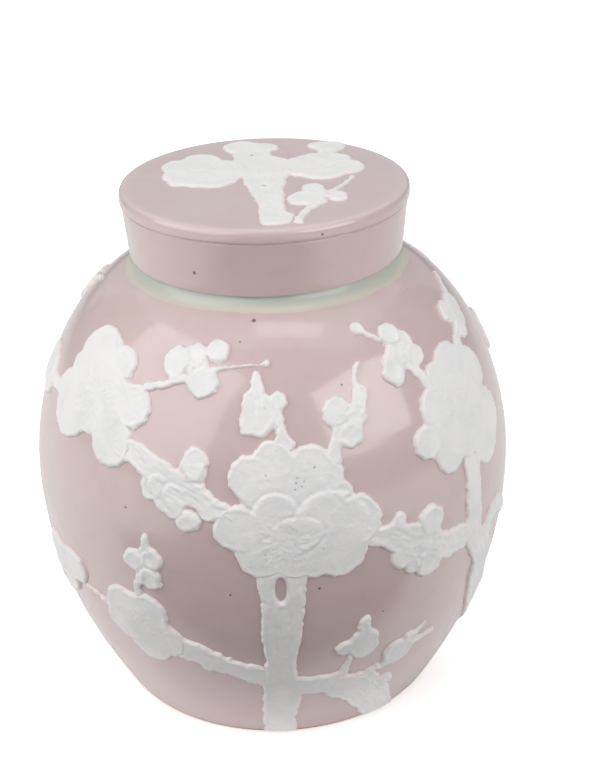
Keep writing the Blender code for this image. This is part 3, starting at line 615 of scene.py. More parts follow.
# Petals are (x, y, half width, half height), and strokes are lists of (x, y, half width): both make
# the outline. Holes are petals cut out of it, and folds are petals laid over it, seen as ridges on
# the side facing the given degrees.
# The eye is a blossom's centre with its reach, and pits are (x, y, radius). Ragged is how torn the
# edge is, in millimetres. To the foot means that the slip stops along the jar's foot.
WALL_SLIP = {
    "centre_blossom": {
        "petals": [
            (4, 37, 17, 9), (0, 50, 8.5, 8.5), (-9, 43, 9.3, 9.3), (15, 47, 9, 9), (22, 42, 6, 6),
            (-5, 13, 10.5, 10.5), (6, 11, 9, 9), (0, 30, 8.5, 7.5), (-14, 23, 9.5, 9.5), (24, 12, 11, 11),
            (31, 23, 10.5, 10.5), (20, 28, 9.3, 9.3), (8, 20, 14, 10), (14, 9.5, 8, 8), (26.5, 36, 4, 4),
        ],
        "folds": [(0.5, 27, 9.5, 10.5, 110), (21, 22, 15, 15, 90), (8, 20, 9.8, 7.4, 40)],
        "eye": (4, 18.5, 15),
    },
    "top_bud": {
        "petals": [
            (-9.5, 64, 4, 4), (2.8, 75, 3.8, 4), (-6, 67.5, 7, 8), (-7, 73.5, 6.2, 6.5), (-2, 71, 5, 6),
        ],
        "strokes": [[(4, 57, 5), (4, 60, 2.6), (3, 69, 2)], [(-6, 74, 5), (-6, 80, 3.2), (-6.5, 87.6, 2)]],
    },
    "side_bud": {
        "petals": [(32.5, 58, 6, 6), (36, 63.5, 4.8, 3.2), (28, 67.5, 6.3, 7)],
        "strokes": [
            [(24, 49, 3.4), (25.5, 54, 2.3), (27.2, 60, 2.4)],
            [(37.5, 66, 3.4), (39.5, 70, 3.6), (40.5, 74, 3.6)],
            [(39, 76, 1.3), (39.5, 81, 1.1), (42, 86, 1.5), (43.5, 87, 1.4)],
        ],
        "folds": [(28, 67.5, 5, 5.8, 0), (35.5, 64, 4.4, 3.4, 90), (32.5, 58, 4.8, 4.6, 90)],
        "eye": (30, 63, 8),
    },
    "ringed_bud": {"petals": [(-33.5, 24.3, 5.8, 4.9)], "folds": [(-33.5, 24.3, 4.2, 3.4, 90)]},
    "left_blossom": {
        "petals": [
            (-86, 65, 19, 16), (-102, 54, 14, 14), (-110, 59, 9, 9), (-96, 82, 15, 15.3),
            (-78, 82.5, 9.3, 9.3),
            (-72, 49, 11, 11), (-64, 66, 9.3, 10), (-104, 72, 9, 9), (-87, 55, 8.5, 8.5),
        ],
        "eye": (-86, 64, 17),
    },
    "upper_left_flower": {
        "petals": [
            (-36, 90, 6, 6), (-38, 95, 7, 7), (-27, 99, 6.6, 6.6), (-47.5, 90.5, 7, 9), (-31.8, 82, 7.8, 7.8),
        ],
        "strokes": [
            [(-64, 72, 3.2), (-58, 76, 2.4), (-50, 79, 2), (-41, 83, 2.2)],
            [(-27, 89.2, 2), (-22, 90.2, 1.3), (-14, 91.8, 1.1), (-5, 92.3, 1.2), (-2, 92.8, 2.1)],
        ],
        "folds": [
            (-45, 91, 5, 7.5, 20), (-38, 95, 6, 6, 60), (-27.3, 99, 5.6, 5.8, 200),
            (-31.8, 82.3, 6.6, 6.6, 110),
        ],
        "pits": [(-37, 88, 0.9)],
        "eye": (-36, 89.5, 8),
    },
    "upper_right_flower": {
        "petals": [
            (68, 87, 7, 7), (67, 97, 6.7, 6.7), (74, 91.5, 5.3, 5.3), (76, 82.5, 5.7, 5.7),
            (60.5, 79.5, 6.3, 8),
        ],
        "strokes": [[(71, 79, 3.2), (74, 73, 2.8), (77.5, 66, 3.6)]],
        "folds": [(67, 96.5, 5.5, 5.5, 270), (60.5, 79.5, 5, 6.6, 60), (75, 83, 5, 5, 140)],
        "eye": (68, 87, 8),
    },
    "drop_bud": {
        "petals": [(50.3, 105.8, 4, 4)],
        "strokes": [[(51, 105, 3.2), (54, 101.5, 1.8), (60, 95.5, 1.2)]],
    },
    "right_blossom": {
        "petals": [
            (92, 52, 19, 16), (104, 34, 12, 12), (110, 41, 11.5, 11.5), (108, 62, 12, 12), (96, 69, 12, 12),
            (84.5, 67, 9, 9), (77, 57, 9.5, 9.5), (78, 37, 9, 9), (67, 45, 7.5, 7), (102, 50, 9, 9),
            (89, 37, 7, 7),
        ],
        "eye": (92, 51, 17),
    },
    "outer_right_flower": {
        "petals": [(127, 83, 6, 6), (121, 79, 5.5, 5.5), (119, 90, 7, 7), (131, 90, 7, 7)],
        "strokes": [
            [(106, 72, 3.4), (112, 77, 2.6), (119, 81, 2.6)], [(133, 94, 2.5), (140, 99, 1.8), (148, 104, 2)],
        ],
        "eye": (126, 85, 8),
    },
    "outer_left_blossom": {
        "petals": [(-146, 54, 7, 7), (-136, 51, 6, 6), (-145, 62, 6, 6), (-138, 58, 8, 8)],
        "strokes": [[(-137, 57, 4.5), (-128, 56, 3.4), (-116, 56.5, 3.2)]],
        "eye": (-140, 57, 8),
    },
    "side_blossom": {
        "petals": [
            (149, -41, 6.5, 6.5), (155.5, -44, 6.5, 6.5), (154, -52, 6.5, 6.5), (147.5, -50, 6.5, 6.5),
        ],
        "strokes": [[(148, -53, 3.8), (139, -63, 3.6)]],
        "eye": (151.5, -47, 7),
    },
    "heart_bud": {
        "petals": [(27.5, -38.5, 4.3, 4.3), (35.5, -38, 7.5, 8.5)],
        "strokes": [[(35.3, -33, 3), (35.3, -28, 2.4), (35.3, -24, 2.3)]],
    },
    "round_bud": {
        "petals": [(54, -50.5, 8, 7.4), (60, -43.5, 3.3, 3.3)],
        "strokes": [
            [(51, -55, 2.4), (47, -57.5, 1.7), (43, -57, 1.6)], [(61, -43, 2), (66.5, -39, 1.1)],
            [(60, -48, 1.7), (67, -47, 1), (73, -46.5, 1)],
        ],
    },
    "finger_bud": {
        "petals": [(-58, 2.5, 4.8, 4.8), (-49.5, 5, 5, 5), (-50.5, -4, 5.3, 5.3), (-53.5, 1, 4.5, 5)],
        "strokes": [
            [(-52, 3, 3), (-52, 9, 2), (-52, 13.5, 1.9)], [(-55, -4, 2.6), (-57, -9, 2), (-57.5, -14, 2.2)],
        ],
        "folds": [(-49.8, 5, 4, 4, 200), (-50.8, -4, 4.2, 4.2, 100)],
    },
    "low_left_blossom": {
        "petals": [
            (-60, -31, 11, 10), (-66, -23, 10, 10), (-55, -23, 10, 10), (-68, -32, 10, 10), (-48, -36, 9, 9),
            (-57, -41, 10.5, 10.5), (-60, -31, 7, 6),
        ],
        "strokes": [[(-74, -27, 1.6), (-84, -23.8, 0.9), (-92, -23.5, 0.8)]],
        "eye": (-60, -31, 13),
    },
    "outer_low_blossom": {
        "petals": [(-107, -27, 8, 8), (-113, -17, 9, 9), (-99.5, -17, 11.8, 8.3)],
        "strokes": [[(-112, -22, 5), (-128, -34, 4.5), (-138, -50, 5)]],
        "eye": (-106, -19, 11),
    },
    "left_branch": {
        "petals": [
            (-49, 35.5, 5, 5.3), (-42.5, 31.5, 5.3, 5.5), (-39, 28.5, 3.6, 3.8), (-25, 29.5, 4, 4),
            (-31.5, 47, 5.5, 7.3),
        ],
        "folds": [(-46, 37, 4.6, 4.6, 160), (-39, 33, 5, 5.4, 150), (-31.5, 47, 4.9, 6.7, 270)],
        "strokes": [
            [
                (-14, 28, 3), (-25, 31, 4), (-32, 35, 5.6), (-40, 38.3, 6.4), (-48, 42, 5.4), (-58, 47, 4.8),
                (-66, 48, 5),
            ],
        ],
        "ragged": 1.1,
    },
    "trunk": {
        "strokes": [
            [(-0.5, -112, 10), (-1, -90, 8.8), (0.5, -70, 8.9), (0, -50, 7), (0.5, -40, 6.6), (1.5, -25, 8)],
            [(1.6, -27, 7.8), (2, -10, 8.6), (2, 4, 9.6)],
            [(6, -60, 6.5), (22, -62, 7), (36, -68, 8.5)],
            [(22, -60, 4), (28, -54, 2.4), (30.5, -45, 1.5)],
        ],
        "holes": [(1.3, -3.2, 2.1, 5.3)],
        "ragged": 0.8,
        "to_foot": True,
    },
    "root": {
        "petals": [(53, -71, 4, 4)],
        "strokes": [
            [(30, -68, 9), (38, -70, 11.5), (50, -88, 10.5), (62, -112, 10)],
            [(38, -63, 4), (42, -59, 2.6), (45, -56, 1.4)],
        ],
        "ragged": 0.9,
        "to_foot": True,
    },
    "low_left_branch": {
        "strokes": [[(-46, -37, 7), (-35, -41, 6.4), (-28, -44, 6.6), (-22, -46.5, 5.8), (-6, -53, 6)]],
        "ragged": 1.2,
    },
    "right_branch": {
        "petals": [
            (50, 2, 5, 5), (63, -5, 6.5, 6.5), (64, 14, 6.5, 6.5), (54.5, -3, 4, 4), (49.3, 19, 2.6, 2.8),
        ],
        "folds": [(64, 14, 5.5, 5.7, 120), (62, -4, 6, 6, 200)],
        "strokes": [[(34, 16, 4), (45, 13, 5.6), (52, 9, 7), (62, 4, 7), (72, -1, 6.3), (81, -1.5, 6)]],
        "ragged": 0.9,
    },
    "right_trunk": {
        "strokes": [
            [
                (91, 34, 6), (90, 14, 5.2), (90, 2, 5.8), (91, -6, 6), (99, -15, 7.5), (103, -20, 8.5),
                (102, -28, 8.5), (107.5, -42, 8.8), (118, -56, 9), (133, -70, 9.5), (143, -86, 9.5),
                (147, -112, 10),
            ],
            [(103, -9, 4.8), (107, -3.5, 4.6), (115, -2, 4.4), (122, -7, 3.8)],
        ],
        "ragged": 0.8,
        "to_foot": True,
    },
}

# The cap's slip, on its flat top: x to the right, y to the back
CAP_SLIP = {
    "cap_bud": {
        "petals": [(28, -22, 3.8, 5.3), (12.6, -26, 4, 4), (18.5, -26, 5, 5), (16.5, -21.5, 7.5, 6)],
        "strokes": [
            [(19, -18, 4.8), (19, -10.5, 4.2)],
            [(18.5, -29, 2), (16, -36, 1.4), (13.5, -42, 1.8), (12.5, -48, 2.2)],
            [(25.5, -17, 1.5), (29, -11, 1.2), (33, -4, 1.2), (34.8, 1, 1)],
        ],
    },
    "cap_left_blossom": {
        "petals": [
            (-15, 13, 9, 12), (-34, 19, 7, 8.5), (-25, 24, 9, 10.5), (-20, 3, 9.5, 10), (-33, 0, 5, 4.2),
            (-29, 8, 11.5, 10), (-27, -0.5, 5, 4.8),
        ],
        "eye": (-26, 13, 12),
        "ragged": 0.5,
    },
    "cap_right_blossom": {
        "petals": [
            (22, 22, 10, 9), (29, 24, 6.5, 6), (32, 13, 8.5, 8.5), (23.5, 12, 11.5, 13), (13, 15, 6, 11),
        ],
        "eye": (24, 15, 11),
        "ragged": 0.5,
    },
    "cap_top_bud": {
        "petals": [(22.5, 42, 3.8, 4.5), (27.5, 40, 6.6, 6.6)],
        "strokes": [[(26, 31, 3.4), (27, 38, 4.5)]],
    },
    "cap_trunk": {
        "petals": [(0, 17, 12, 13), (-8.5, 42.5, 8, 8), (1, 41, 5.5, 5.5), (-3.5, 25, 8, 8)],
        "strokes": [
            [(2.2, -46.5, 4.6), (3, -36, 5), (1.8, -20, 5.7), (0.8, -8, 7.4), (0.5, 4, 9.6)],
            [(7, -47, 3.4), (6.5, -42, 4.6)], [(-4, 20, 8), (-4.5, 38, 7.3)],
        ],
        "pits": [(0, -7.5, 0.9)],
        "ragged": 0.7,
    },
}

# Burnt specks, on the jar as (plan x, plan y, radius), on the cap's wall as (turn from the front in
# radians, height, radius), and pinholes in the slip of the wall and of the cap as (x, y, radius)
JAR_SPECKS = [
    (-9, 119.5, 0.9), (-61, 24, 0.5), (-16, 105, 0.4), (16, -4, 0.6), (33, 79, 0.5), (-18, -6, 0.5),
    (43, -22, 0.4),
]
CAP_SPECKS = [(-0.51, 197.2, 0.8), (0.37, 212.6, 0.6)]
SLIP_PINHOLES = [
    (16, 46.5, 0.55), (9, 43, 0.45), (8.5, 41, 0.45), (11.5, 41.5, 0.45), (10.5, 39.5, 0.4), (8, 38.5, 0.4),
    (-3, 44.5, 0.5), (-2.5, 42.5, 0.4), (-3, 72, 0.4), (-36.8, 88, 0.6), (-53.5, 0.5, 0.4), (17.5, 14, 0.4),
    (-4, 13, 0.4),
]
CAP_PINHOLES = [(0, -7.5, 1.0), (-4.5, 30, 0.8)]


# ---------------------------------------------------------------- finishes

def shader_group(name, inputs, outputs):
    tree = bpy.data.node_groups.new(name, "ShaderNodeTree")
    for label, kind, value in inputs:
        socket = tree.interface.new_socket(label, in_out="INPUT", socket_type=kind)
        if value is not None:
            socket.default_value = value
    for label, kind in outputs:
        tree.interface.new_socket(label, in_out="OUTPUT", socket_type=kind)
    return tree, tree.nodes.new("NodeGroupInput").outputs


def specks_group():
    """Iron specks: small spots, some cells of a scatter only."""
    tree, given = shader_group("iron_specks", [
        ("Vector", "NodeSocketVector", None), ("Spacing", "NodeSocketFloat", 0.016),
        ("Radius", "NodeSocketFloat", 0.0005), ("Share", "NodeSocketFloat", 0.2),
    ], [("Spots", "NodeSocketFloat")])
    density = maths(tree, "DIVIDE", 1.0, given["Spacing"])
    cells = tree_node(tree, "ShaderNodeTexVoronoi", {"Vector": given["Vector"], "Scale": density})
    chance = tree_node(tree, "ShaderNodeSeparateColor", {0: cells.outputs["Color"]})
    rough = tree_node(tree, "ShaderNodeTexNoise", {"Vector": given["Vector"], "Scale": 1500.0, "Detail": 1.0})
    radius = maths(tree, "MULTIPLY", given["Radius"], density)
    uneven = maths(tree, "MULTIPLY", maths(tree, "SUBTRACT", rough.outputs[0], 0.5), 0.9)
    reach = maths(tree, "ADD", maths(tree, "DIVIDE", cells.outputs["Distance"], radius), uneven)
    size = maths(tree, "ADD", maths(tree, "MULTIPLY", chance.outputs["Green"], 0.9), 0.4)
    spot = ramp(tree, maths(tree, "DIVIDE", reach, size), 0.6, 1.1, 1.0, 0.0)
    picked = maths(tree, "LESS_THAN", chance.outputs["Red"], given["Share"])
    tree_node(tree, "NodeGroupOutput", {"Spots": maths(tree, "MULTIPLY", spot, picked)})
    return tree


def mottle_group():
    """Slow cloudy change over the surface, about a middle of 0.5."""
    tree, given = shader_group("cloudy_mottle", [
        ("Vector", "NodeSocketVector", None), ("Size", "NodeSocketFloat", 0.03),
        ("Amount", "NodeSocketFloat", 1.0),
    ], [("Value", "NodeSocketFloat")])
    scale = maths(tree, "DIVIDE", 1.0, given["Size"])
    cloud = tree_node(tree, "ShaderNodeTexNoise", {
        "Vector": given["Vector"], "Scale": scale, "Detail": 4.0, "Roughness": 0.55, "Distortion": 0.4,
    })
    centred = maths(tree, "MULTIPLY", maths(tree, "SUBTRACT", cloud.outputs[0], 0.5), given["Amount"])
    tree_node(tree, "NodeGroupOutput", {"Value": maths(tree, "ADD", centred, 0.5, clamp=True)})
    return tree


def skin_group():
    """Fired surface relief in metres: broad waves, fine grain and turning lines."""
    tree, given = shader_group("fired_skin", [
        ("Vector", "NodeSocketVector", None), ("Wave Size", "NodeSocketFloat", 0.008),
        ("Wave", "NodeSocketFloat", 0.00003), ("Grain Size", "NodeSocketFloat", 0.0009),
        ("Grain", "NodeSocketFloat", 0.000004), ("Line", "NodeSocketFloat", 0.0),
    ], [("Height", "NodeSocketFloat")])
    total = 0.0
    for size, amount, detail in (("Wave Size", "Wave", 1.5), ("Grain Size", "Grain", 3.0)):
        wave = tree_node(tree, "ShaderNodeTexNoise", {
            "Vector": given["Vector"], "Scale": maths(tree, "DIVIDE", 1.0, given[size]), "Detail": detail,
        })
        total = maths(tree, "ADD", maths(tree, "MULTIPLY", wave.outputs[0], given[amount]), total)
    squeeze = vector_maths(tree, "MULTIPLY", given["Vector"], (14.0, 14.0, 420.0))
    lines = tree_node(tree, "ShaderNodeTexNoise", {"Vector": squeeze, "Scale": 1.0, "Detail": 2.0})
    total = maths(tree, "ADD", maths(tree, "MULTIPLY", lines.outputs[0], given["Line"]), total)
    tree_node(tree, "NodeGroupOutput", {"Height": total})
    return tree


def srgb(red, green, blue):
    """A colour given as 0 to 255, as linear light."""
    return tuple(((value / 255 + 0.055) / 1.055) ** 2.4 for value in (red, green, blue)) + (1.0,)


PINK = srgb(211, 187, 188)
PINK_DEEP = srgb(199, 170, 172)
PINK_WARM = srgb(212, 192, 189)
PINK_THINNED_AND_HIGHLIGHT = srgb(226, 210, 209)
CELADON = srgb(204, 206, 194)
CELADON_BLUE_SHEEN = srgb(202, 206, 201)
CREAM = srgb(212, 207, 193)
BARE_CLAY = srgb(188, 160, 130)
IRON = srgb(84, 58, 50)
SLIP = srgb(241, 240, 238)
SLIP_COOL = srgb(234, 234, 234)
SLIP_THIN = srgb(240, 226, 223)


def new_material(name):
    material = bpy.data.materials.new(name)
    material.use_nodes = True
    tree = material.node_tree
    return material, tree, tree.nodes["Principled BSDF"]


def mix_colour(tree, share, below, above):
    node = tree_node(tree, "ShaderNodeMix", {0: share, 6: below, 7: above}, data_type="RGBA")
    return node.outputs[2]


def ramp(tree, value, low, high, to_low=0.0, to_high=1.0):
    node = tree_node(tree, "ShaderNodeMapRange", {
        "Value": value, "From Min": low, "From Max": high, "To Min": to_low, "To Max": to_high,
    }, interpolation_type="SMOOTHSTEP")
    return node.outputs[0]


def group_node(tree, group, inputs):
    return tree_node(tree, "ShaderNodeGroup", inputs, node_tree=group).outputs[0]


def glaze_material(name, bands, burnt, groups):
    """Pink glaze. Bands is a function that lays the piece's other colours over the pink."""
    material, tree, shader = new_material(name)
    place = tree_node(tree, "ShaderNodeTexCoord").outputs["Object"]
    cloud = group_node(tree, groups["mottle"], {"Vector": place, "Size": 0.045, "Amount": 1.6})
    cloud_fine = group_node(tree, groups["mottle"], {"Vector": place, "Size": 0.009, "Amount": 1.1})
    colour = mix_colour(tree, ramp(tree, cloud, 0.3, 0.75), PINK, PINK_WARM)
    deeper = maths(tree, "MULTIPLY", ramp(tree, cloud_fine, 0.5, 0.9), 0.35)
    colour = mix_colour(tree, deeper, colour, PINK_DEEP)
    wobble = tree_node(tree, "ShaderNodeTexNoise", {"Vector": place, "Scale": 38.0, "Detail": 3.0}).outputs[0]
    wobble = maths(tree, "MULTIPLY", maths(tree, "SUBTRACT", wobble, 0.5), 0.0022)
    colour, bare, thin = bands(tree, place, wobble, colour)
    spots = group_node(tree, groups["specks"], {
        "Vector": place, "Spacing": 0.006, "Radius": 0.00050, "Share": 0.03,
    })
    dust = group_node(tree, groups["specks"], {
        "Vector": place, "Spacing": 0.005, "Radius": 0.00022, "Share": 0.20,
    })
    spots = maths(tree, "ADD", spots, placed_specks(tree, place, burnt), clamp=True)
    colour = mix_colour(tree, maths(tree, "MULTIPLY", spots, 0.85), colour, IRON)
    colour = mix_colour(tree, maths(tree, "MULTIPLY", dust, 0.45), colour, IRON)
    tree.links.new(colour, shader.inputs["Base Color"])
    tree.links.new(maths(tree, "ADD", maths(tree, "MULTIPLY", bare, 0.45), 0.30), shader.inputs["Roughness"])
    glassy = maths(tree, "SUBTRACT", 1.0, maths(tree, "MULTIPLY", thin, 0.6))
    glassy = maths(tree, "SUBTRACT", glassy, bare, clamp=True)
    tree.links.new(glassy, shader.inputs["Coat Weight"])
    shader.inputs["Coat Roughness"].default_value = 0.10
    shader.inputs["Coat IOR"].default_value = 1.52
    shader.inputs["IOR"].default_value = 1.45
    height = group_node(tree, groups["skin"], {
        "Vector": place, "Wave Size": 0.011, "Wave": 0.00011, "Grain Size": 0.0012, "Grain": 0.000003,
        "Line": 0.000035,
    })
    height = maths(tree, "SUBTRACT", height, maths(tree, "MULTIPLY", spots, 0.00004))
    bump = tree_node(tree, "ShaderNodeBump", {"Height": height, "Strength": 1.0, "Distance": 1.0})
    tree.links.new(bump.outputs[0], shader.inputs["Normal"])
    return material


def plan_spot(x, y, lift=0.0):
    """A plan point as a place on the jar's wall, or lifted off it by so many millimetres, in metres."""
    points, low = wall_plan()
    points = inset(points, -lift)
    radius, height = (np.interp(y, low + PLAN_STEP * np.arange(len(points)), points[:, n]) for n in (0, 1))
    return radius * math.sin(x / PLAN_RADIUS) * MM, -radius * math.cos(x / PLAN_RADIUS) * MM, height * MM


def placed_specks(tree, place, spots):
    """Single burnt specks at known places: each is a place in metres and a radius in millimetres."""
    total = 0.0
    for spot, radius in spots:
        away = vector_maths(tree, "DISTANCE", place, spot)
        dot = ramp(tree, away, radius * 0.5 * MM, radius * 1.2 * MM, 1.0, 0.0)
        total = maths(tree, "ADD", dot, total, clamp=True)
    return total


def jar_bands(tree, place, wobble, colour):
    """Celadon above the shoulder ring, paler and bluer higher up (glaze tint with painted sheen), a cream
    line where the pink stops, pale lining, bare foot.
    """
    height = tree_node(tree, "ShaderNodeSeparateXYZ", {0: place}).outputs["Z"]
    edge = maths(tree, "ADD", height, wobble)
    ring = SHOULDER_HEIGHT * MM
    lining = tree_node(tree, "ShaderNodeAttribute", attribute_name="lining").outputs["Fac"]
    # Paler bluish celadon higher up the neck: the glaze's own tint with a painted sheen.
    blue = ramp(tree, edge, ring + 0.0015, ring + 0.0045)
    neck = mix_colour(tree, blue, CELADON, CELADON_BLUE_SHEEN)
    colour = mix_colour(tree, ramp(tree, edge, ring - 0.0004, ring + 0.0003), colour, neck)
    above = ramp(tree, edge, ring - 0.0003, ring + 0.0002)
    below = ramp(tree, edge, ring + 0.0008, ring + 0.0018, 1.0, 0.0)
    colour = mix_colour(tree, maths(tree, "MULTIPLY", above, below), colour, CREAM)
    colour = mix_colour(tree, lining, colour, CELADON)
    foot_edge = maths(tree, "ADD", height, maths(tree, "MULTIPLY", wobble, 0.5))
    bare = ramp(tree, foot_edge, 0.0009, 0.0019, 1.0, 0.0)
    colour = mix_colour(tree, bare, colour, BARE_CLAY)
    return colour, bare, above


def cap_bands(tree, place, wobble, colour):
    """The glaze thins to cream along the cap's foot; along its rim a paler pink is painted, partly for the
    glaze thinning there and partly as a painted highlight; inside it is bare.
    """
    parts = tree_node(tree, "ShaderNodeSeparateXYZ", {0: place}).outputs
    lining = tree_node(tree, "ShaderNodeAttribute", attribute_name="lining").outputs["Fac"]
    height = maths(tree, "ADD", parts["Z"], wobble)
    foot = ramp(tree, height, (CAP_FOOT + 0.3) * MM, (CAP_FOOT + 1.4) * MM, 1.0, 0.0)
    colour = mix_colour(tree, maths(tree, "MULTIPLY", foot, 0.4), colour, CREAM)
    # Paler pink along the rim: painted highlight, together with the glaze's thinning at the edge.
    rim = tree_node(tree, "ShaderNodeAttribute", attribute_name="rim").outputs["Fac"]
    colour = mix_colour(tree, maths(tree, "MULTIPLY", rim, 0.3), colour, PINK_THINNED_AND_HIGHLIGHT)
    colour = mix_colour(tree, lining, colour, CREAM)
    return colour, maths(tree, "MULTIPLY", lining, 0.8), foot


def slip_material(groups):
    """Satin white slip: thin and faintly pink at its edge, with fine drying grain."""
    material, tree, shader = new_material("white_slip")
    place = tree_node(tree, "ShaderNodeTexCoord").outputs["Object"]
    cloud = group_node(tree, groups["mottle"], {"Vector": place, "Size": 0.012, "Amount": 1.5})
    colour = mix_colour(tree, ramp(tree, cloud, 0.3, 0.8), SLIP, SLIP_COOL)
    depth = tree_node(tree, "ShaderNodeAttribute", attribute_name="slip_depth").outputs["Fac"]
    thin = ramp(tree, depth, 0.05, 1.3, 1.0, 0.0)
    colour = mix_colour(tree, maths(tree, "MULTIPLY", thin, 0.75), colour, SLIP_THIN)
    dust = group_node(tree, groups["specks"], {
        "Vector": place, "Spacing": 0.006, "Radius": 0.00018, "Share": 0.10,
    })
    holes = [(plan_spot(x, y, SLIP_THICKNESS), radius) for x, y, radius in SLIP_PINHOLES]
    level = (CAP_TOP + SLIP_THICKNESS * CAP_SLIP_RISE) * MM
    holes += [((x * MM, y * MM, level), radius) for x, y, radius in CAP_PINHOLES]
    dust = maths(tree, "ADD", dust, placed_specks(tree, place, holes), clamp=True)
    colour = mix_colour(tree, maths(tree, "MULTIPLY", dust, 0.5), colour, IRON)
    tree.links.new(colour, shader.inputs["Base Color"])
    tree.links.new(ramp(tree, cloud, 0.2, 0.9, 0.38, 0.52), shader.inputs["Roughness"])
    shader.inputs["IOR"].default_value = 1.45
    height = group_node(tree, groups["skin"], {
        "Vector": place, "Wave Size": 0.0020, "Wave": 0.00020, "Grain Size": 0.0005, "Grain": 0.00004,
    })
    bump = tree_node(tree, "ShaderNodeBump", {"Height": height, "Strength": 0.8, "Distance": 1.0})
    tree.links.new(bump.outputs[0], shader.inputs["Normal"])
    return material


def floor_material():
    """Pale floor. Its front part is painted dark for all but camera rays, so the glaze and slip reflect a
    dark patch there and get less bounce light from it: painted dark reflection and painted shade on the jar's
    lower front. The camera sees the floor white, far and near.
    """
    material, tree, shader = new_material("pale_floor")
    place = tree_node(tree, "ShaderNodeTexCoord").outputs["Object"]
    parts = tree_node(tree, "ShaderNodeSeparateXYZ", {0: place}).outputs
    grain = tree_node(tree, "ShaderNodeTexNoise", {"Vector": place, "Scale": 300.0, "Detail": 2.0}).outputs[0]
    colour = mix_colour(tree, grain, srgb(250, 250, 250), srgb(247, 247, 247))
    seen = tree_node(tree, "ShaderNodeLightPath").outputs["Is Camera Ray"]
    # Painted dark patch in front of the jar, seen only in reflections and bounce light: painted shade and
    # dark reflection on the glaze's lower front.
    front = ramp(tree, parts["Y"], -0.125, -0.095, 1.0, 0.0)
    sideways = maths(tree, "ABSOLUTE", maths(tree, "ADD", parts["X"], 0.02))
    dark_reflection_patch = maths(tree, "MULTIPLY", front, ramp(tree, sideways, 0.20, 0.32, 1.0, 0.0))
    dark_reflection_patch = maths(tree, "MULTIPLY", dark_reflection_patch, maths(tree, "SUBTRACT", 1.0, seen))
    colour = mix_colour(tree, dark_reflection_patch, colour, srgb(40, 36, 36))
    tree.links.new(colour, shader.inputs["Base Color"])
    shader.inputs["Roughness"].default_value = 0.9
    away = vector_maths(tree, "LENGTH", place)
    glow = mix_colour(tree, ramp(tree, away, 0.7, 2.2, 0.0, 1.0), srgb(179, 179, 179), srgb(255, 255, 255))
    tree.links.new(mix_colour(tree, seen, srgb(0, 0, 0), glow), shader.inputs["Emission Color"])
    shader.inputs["Emission Strength"].default_value = 1.0
    return material


# ---------------------------------------------------------------- the pieces

def mark_points(piece, label, test):
    """Stores the test's 0 to 1 on each point, from its radius and height in millimetres."""
    mesh = piece.data
    spots = np.empty(len(mesh.vertices) * 3, np.float32)
    mesh.vertices.foreach_get("co", spots)
    spots = spots.reshape(-1, 3) / MM
    values = test(np.hypot(spots[:, 0], spots[:, 1]), spots[:, 2])
    mark = mesh.attributes.new(label, "FLOAT", "POINT")
    mark.data.foreach_set("value", values.astype(np.float32))


def join_frame(piece, body, node):
    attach(piece, body)
    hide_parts(node)


def make_turned_pieces(groups):
    tree = turned_tree()
    burnt = [(plan_spot(x, y), radius) for x, y, radius in JAR_SPECKS]
    glaze = glaze_material("jar_glaze", jar_bands, burnt, groups)
    jar = turned_piece("jar", jar_outline(), tree, glaze, 0.30)
    wall = wall_profile(84)

    def inside_jar(radius, height):
        outer = np.interp(height, wall[:, 1], wall[:, 0])
        return (radius < outer - WALL / 2) & (height < SHOULDER_HEIGHT) & (height > 1.5)

    mark_points(jar, "lining", inside_jar)
    join_frame(jar, "jar", "jar_body")
    burnt = []
    for turn, height, radius in CAP_SPECKS:
        out = np.interp(height, (CAP_FOOT, CAP_TOP - CAP_STEP_DROP, CAP_TOP - 4), (
            CAP_FOOT_RADIUS, CAP_RADIUS - CAP_STEP_DEPTH, CAP_RADIUS,
        ))
        burnt.append(((out * math.sin(turn) * MM, -out * math.cos(turn) * MM, height * MM), radius))
    glaze = glaze_material("cap_glaze", cap_bands, burnt, groups)
    cap = turned_piece("cap", cap_outline(), tree, glaze, 0.16)

    def inside_cap(radius, height):
        return (radius < CAP_FOOT_RADIUS - CAP_WALL + 0.5) & (height < CAP_TOP - CAP_CROWN + 0.5)

    # The band round the cap's top edge that carries its painted highlight and glaze thinning.
    def rim_thinning_and_highlight(radius, height):
        return np.exp(-((radius - CAP_RADIUS + 2) / 2) ** 2) * (height > CAP_TOP - 4)

    mark_points(cap, "lining", inside_cap)
    mark_points(cap, "rim", rim_thinning_and_highlight)
    join_frame(cap, "cap", "cap_shell")


def wall_plan():
    """The wall as points at equal steps of the plan's y, and the plan's y at the first of them."""
    wall = wall_profile(400)
    middles = (wall[1:, 0] + wall[:-1, 0]) / 2
    rise = np.concatenate([[0.0], np.cumsum(PLAN_RADIUS * np.hypot(*np.diff(wall, axis=0).T) / middles)])
    rise -= np.interp(PLAN_ZERO_HEIGHT, wall[:, 1], rise)
    steps = np.arange(rise[0], rise[-1], PLAN_STEP)
    return np.column_stack([np.interp(steps, rise, wall[:, 0]), np.interp(steps, rise, wall[:, 1])]), rise[0]


def make_wall_slip(slip):
    points, low = wall_plan()
    wall = profile_object("wall_plan", points)
    tree = laid_tree()
    for turn, side in enumerate(("front_", "back_")):
        for number, (name, shape) in enumerate(WALL_SLIP.items()):
            piece = slip_patch(side + name + "_slip", shape, 100 * turn + number + 1)
            through_tree(piece, tree, {
                "Wall": wall, "Plan Low": low * MM, "Turn": turn * math.pi, "Slip": slip,
            })
            join_frame(piece, "jar", side + name)
    bpy.data.objects.remove(wall)


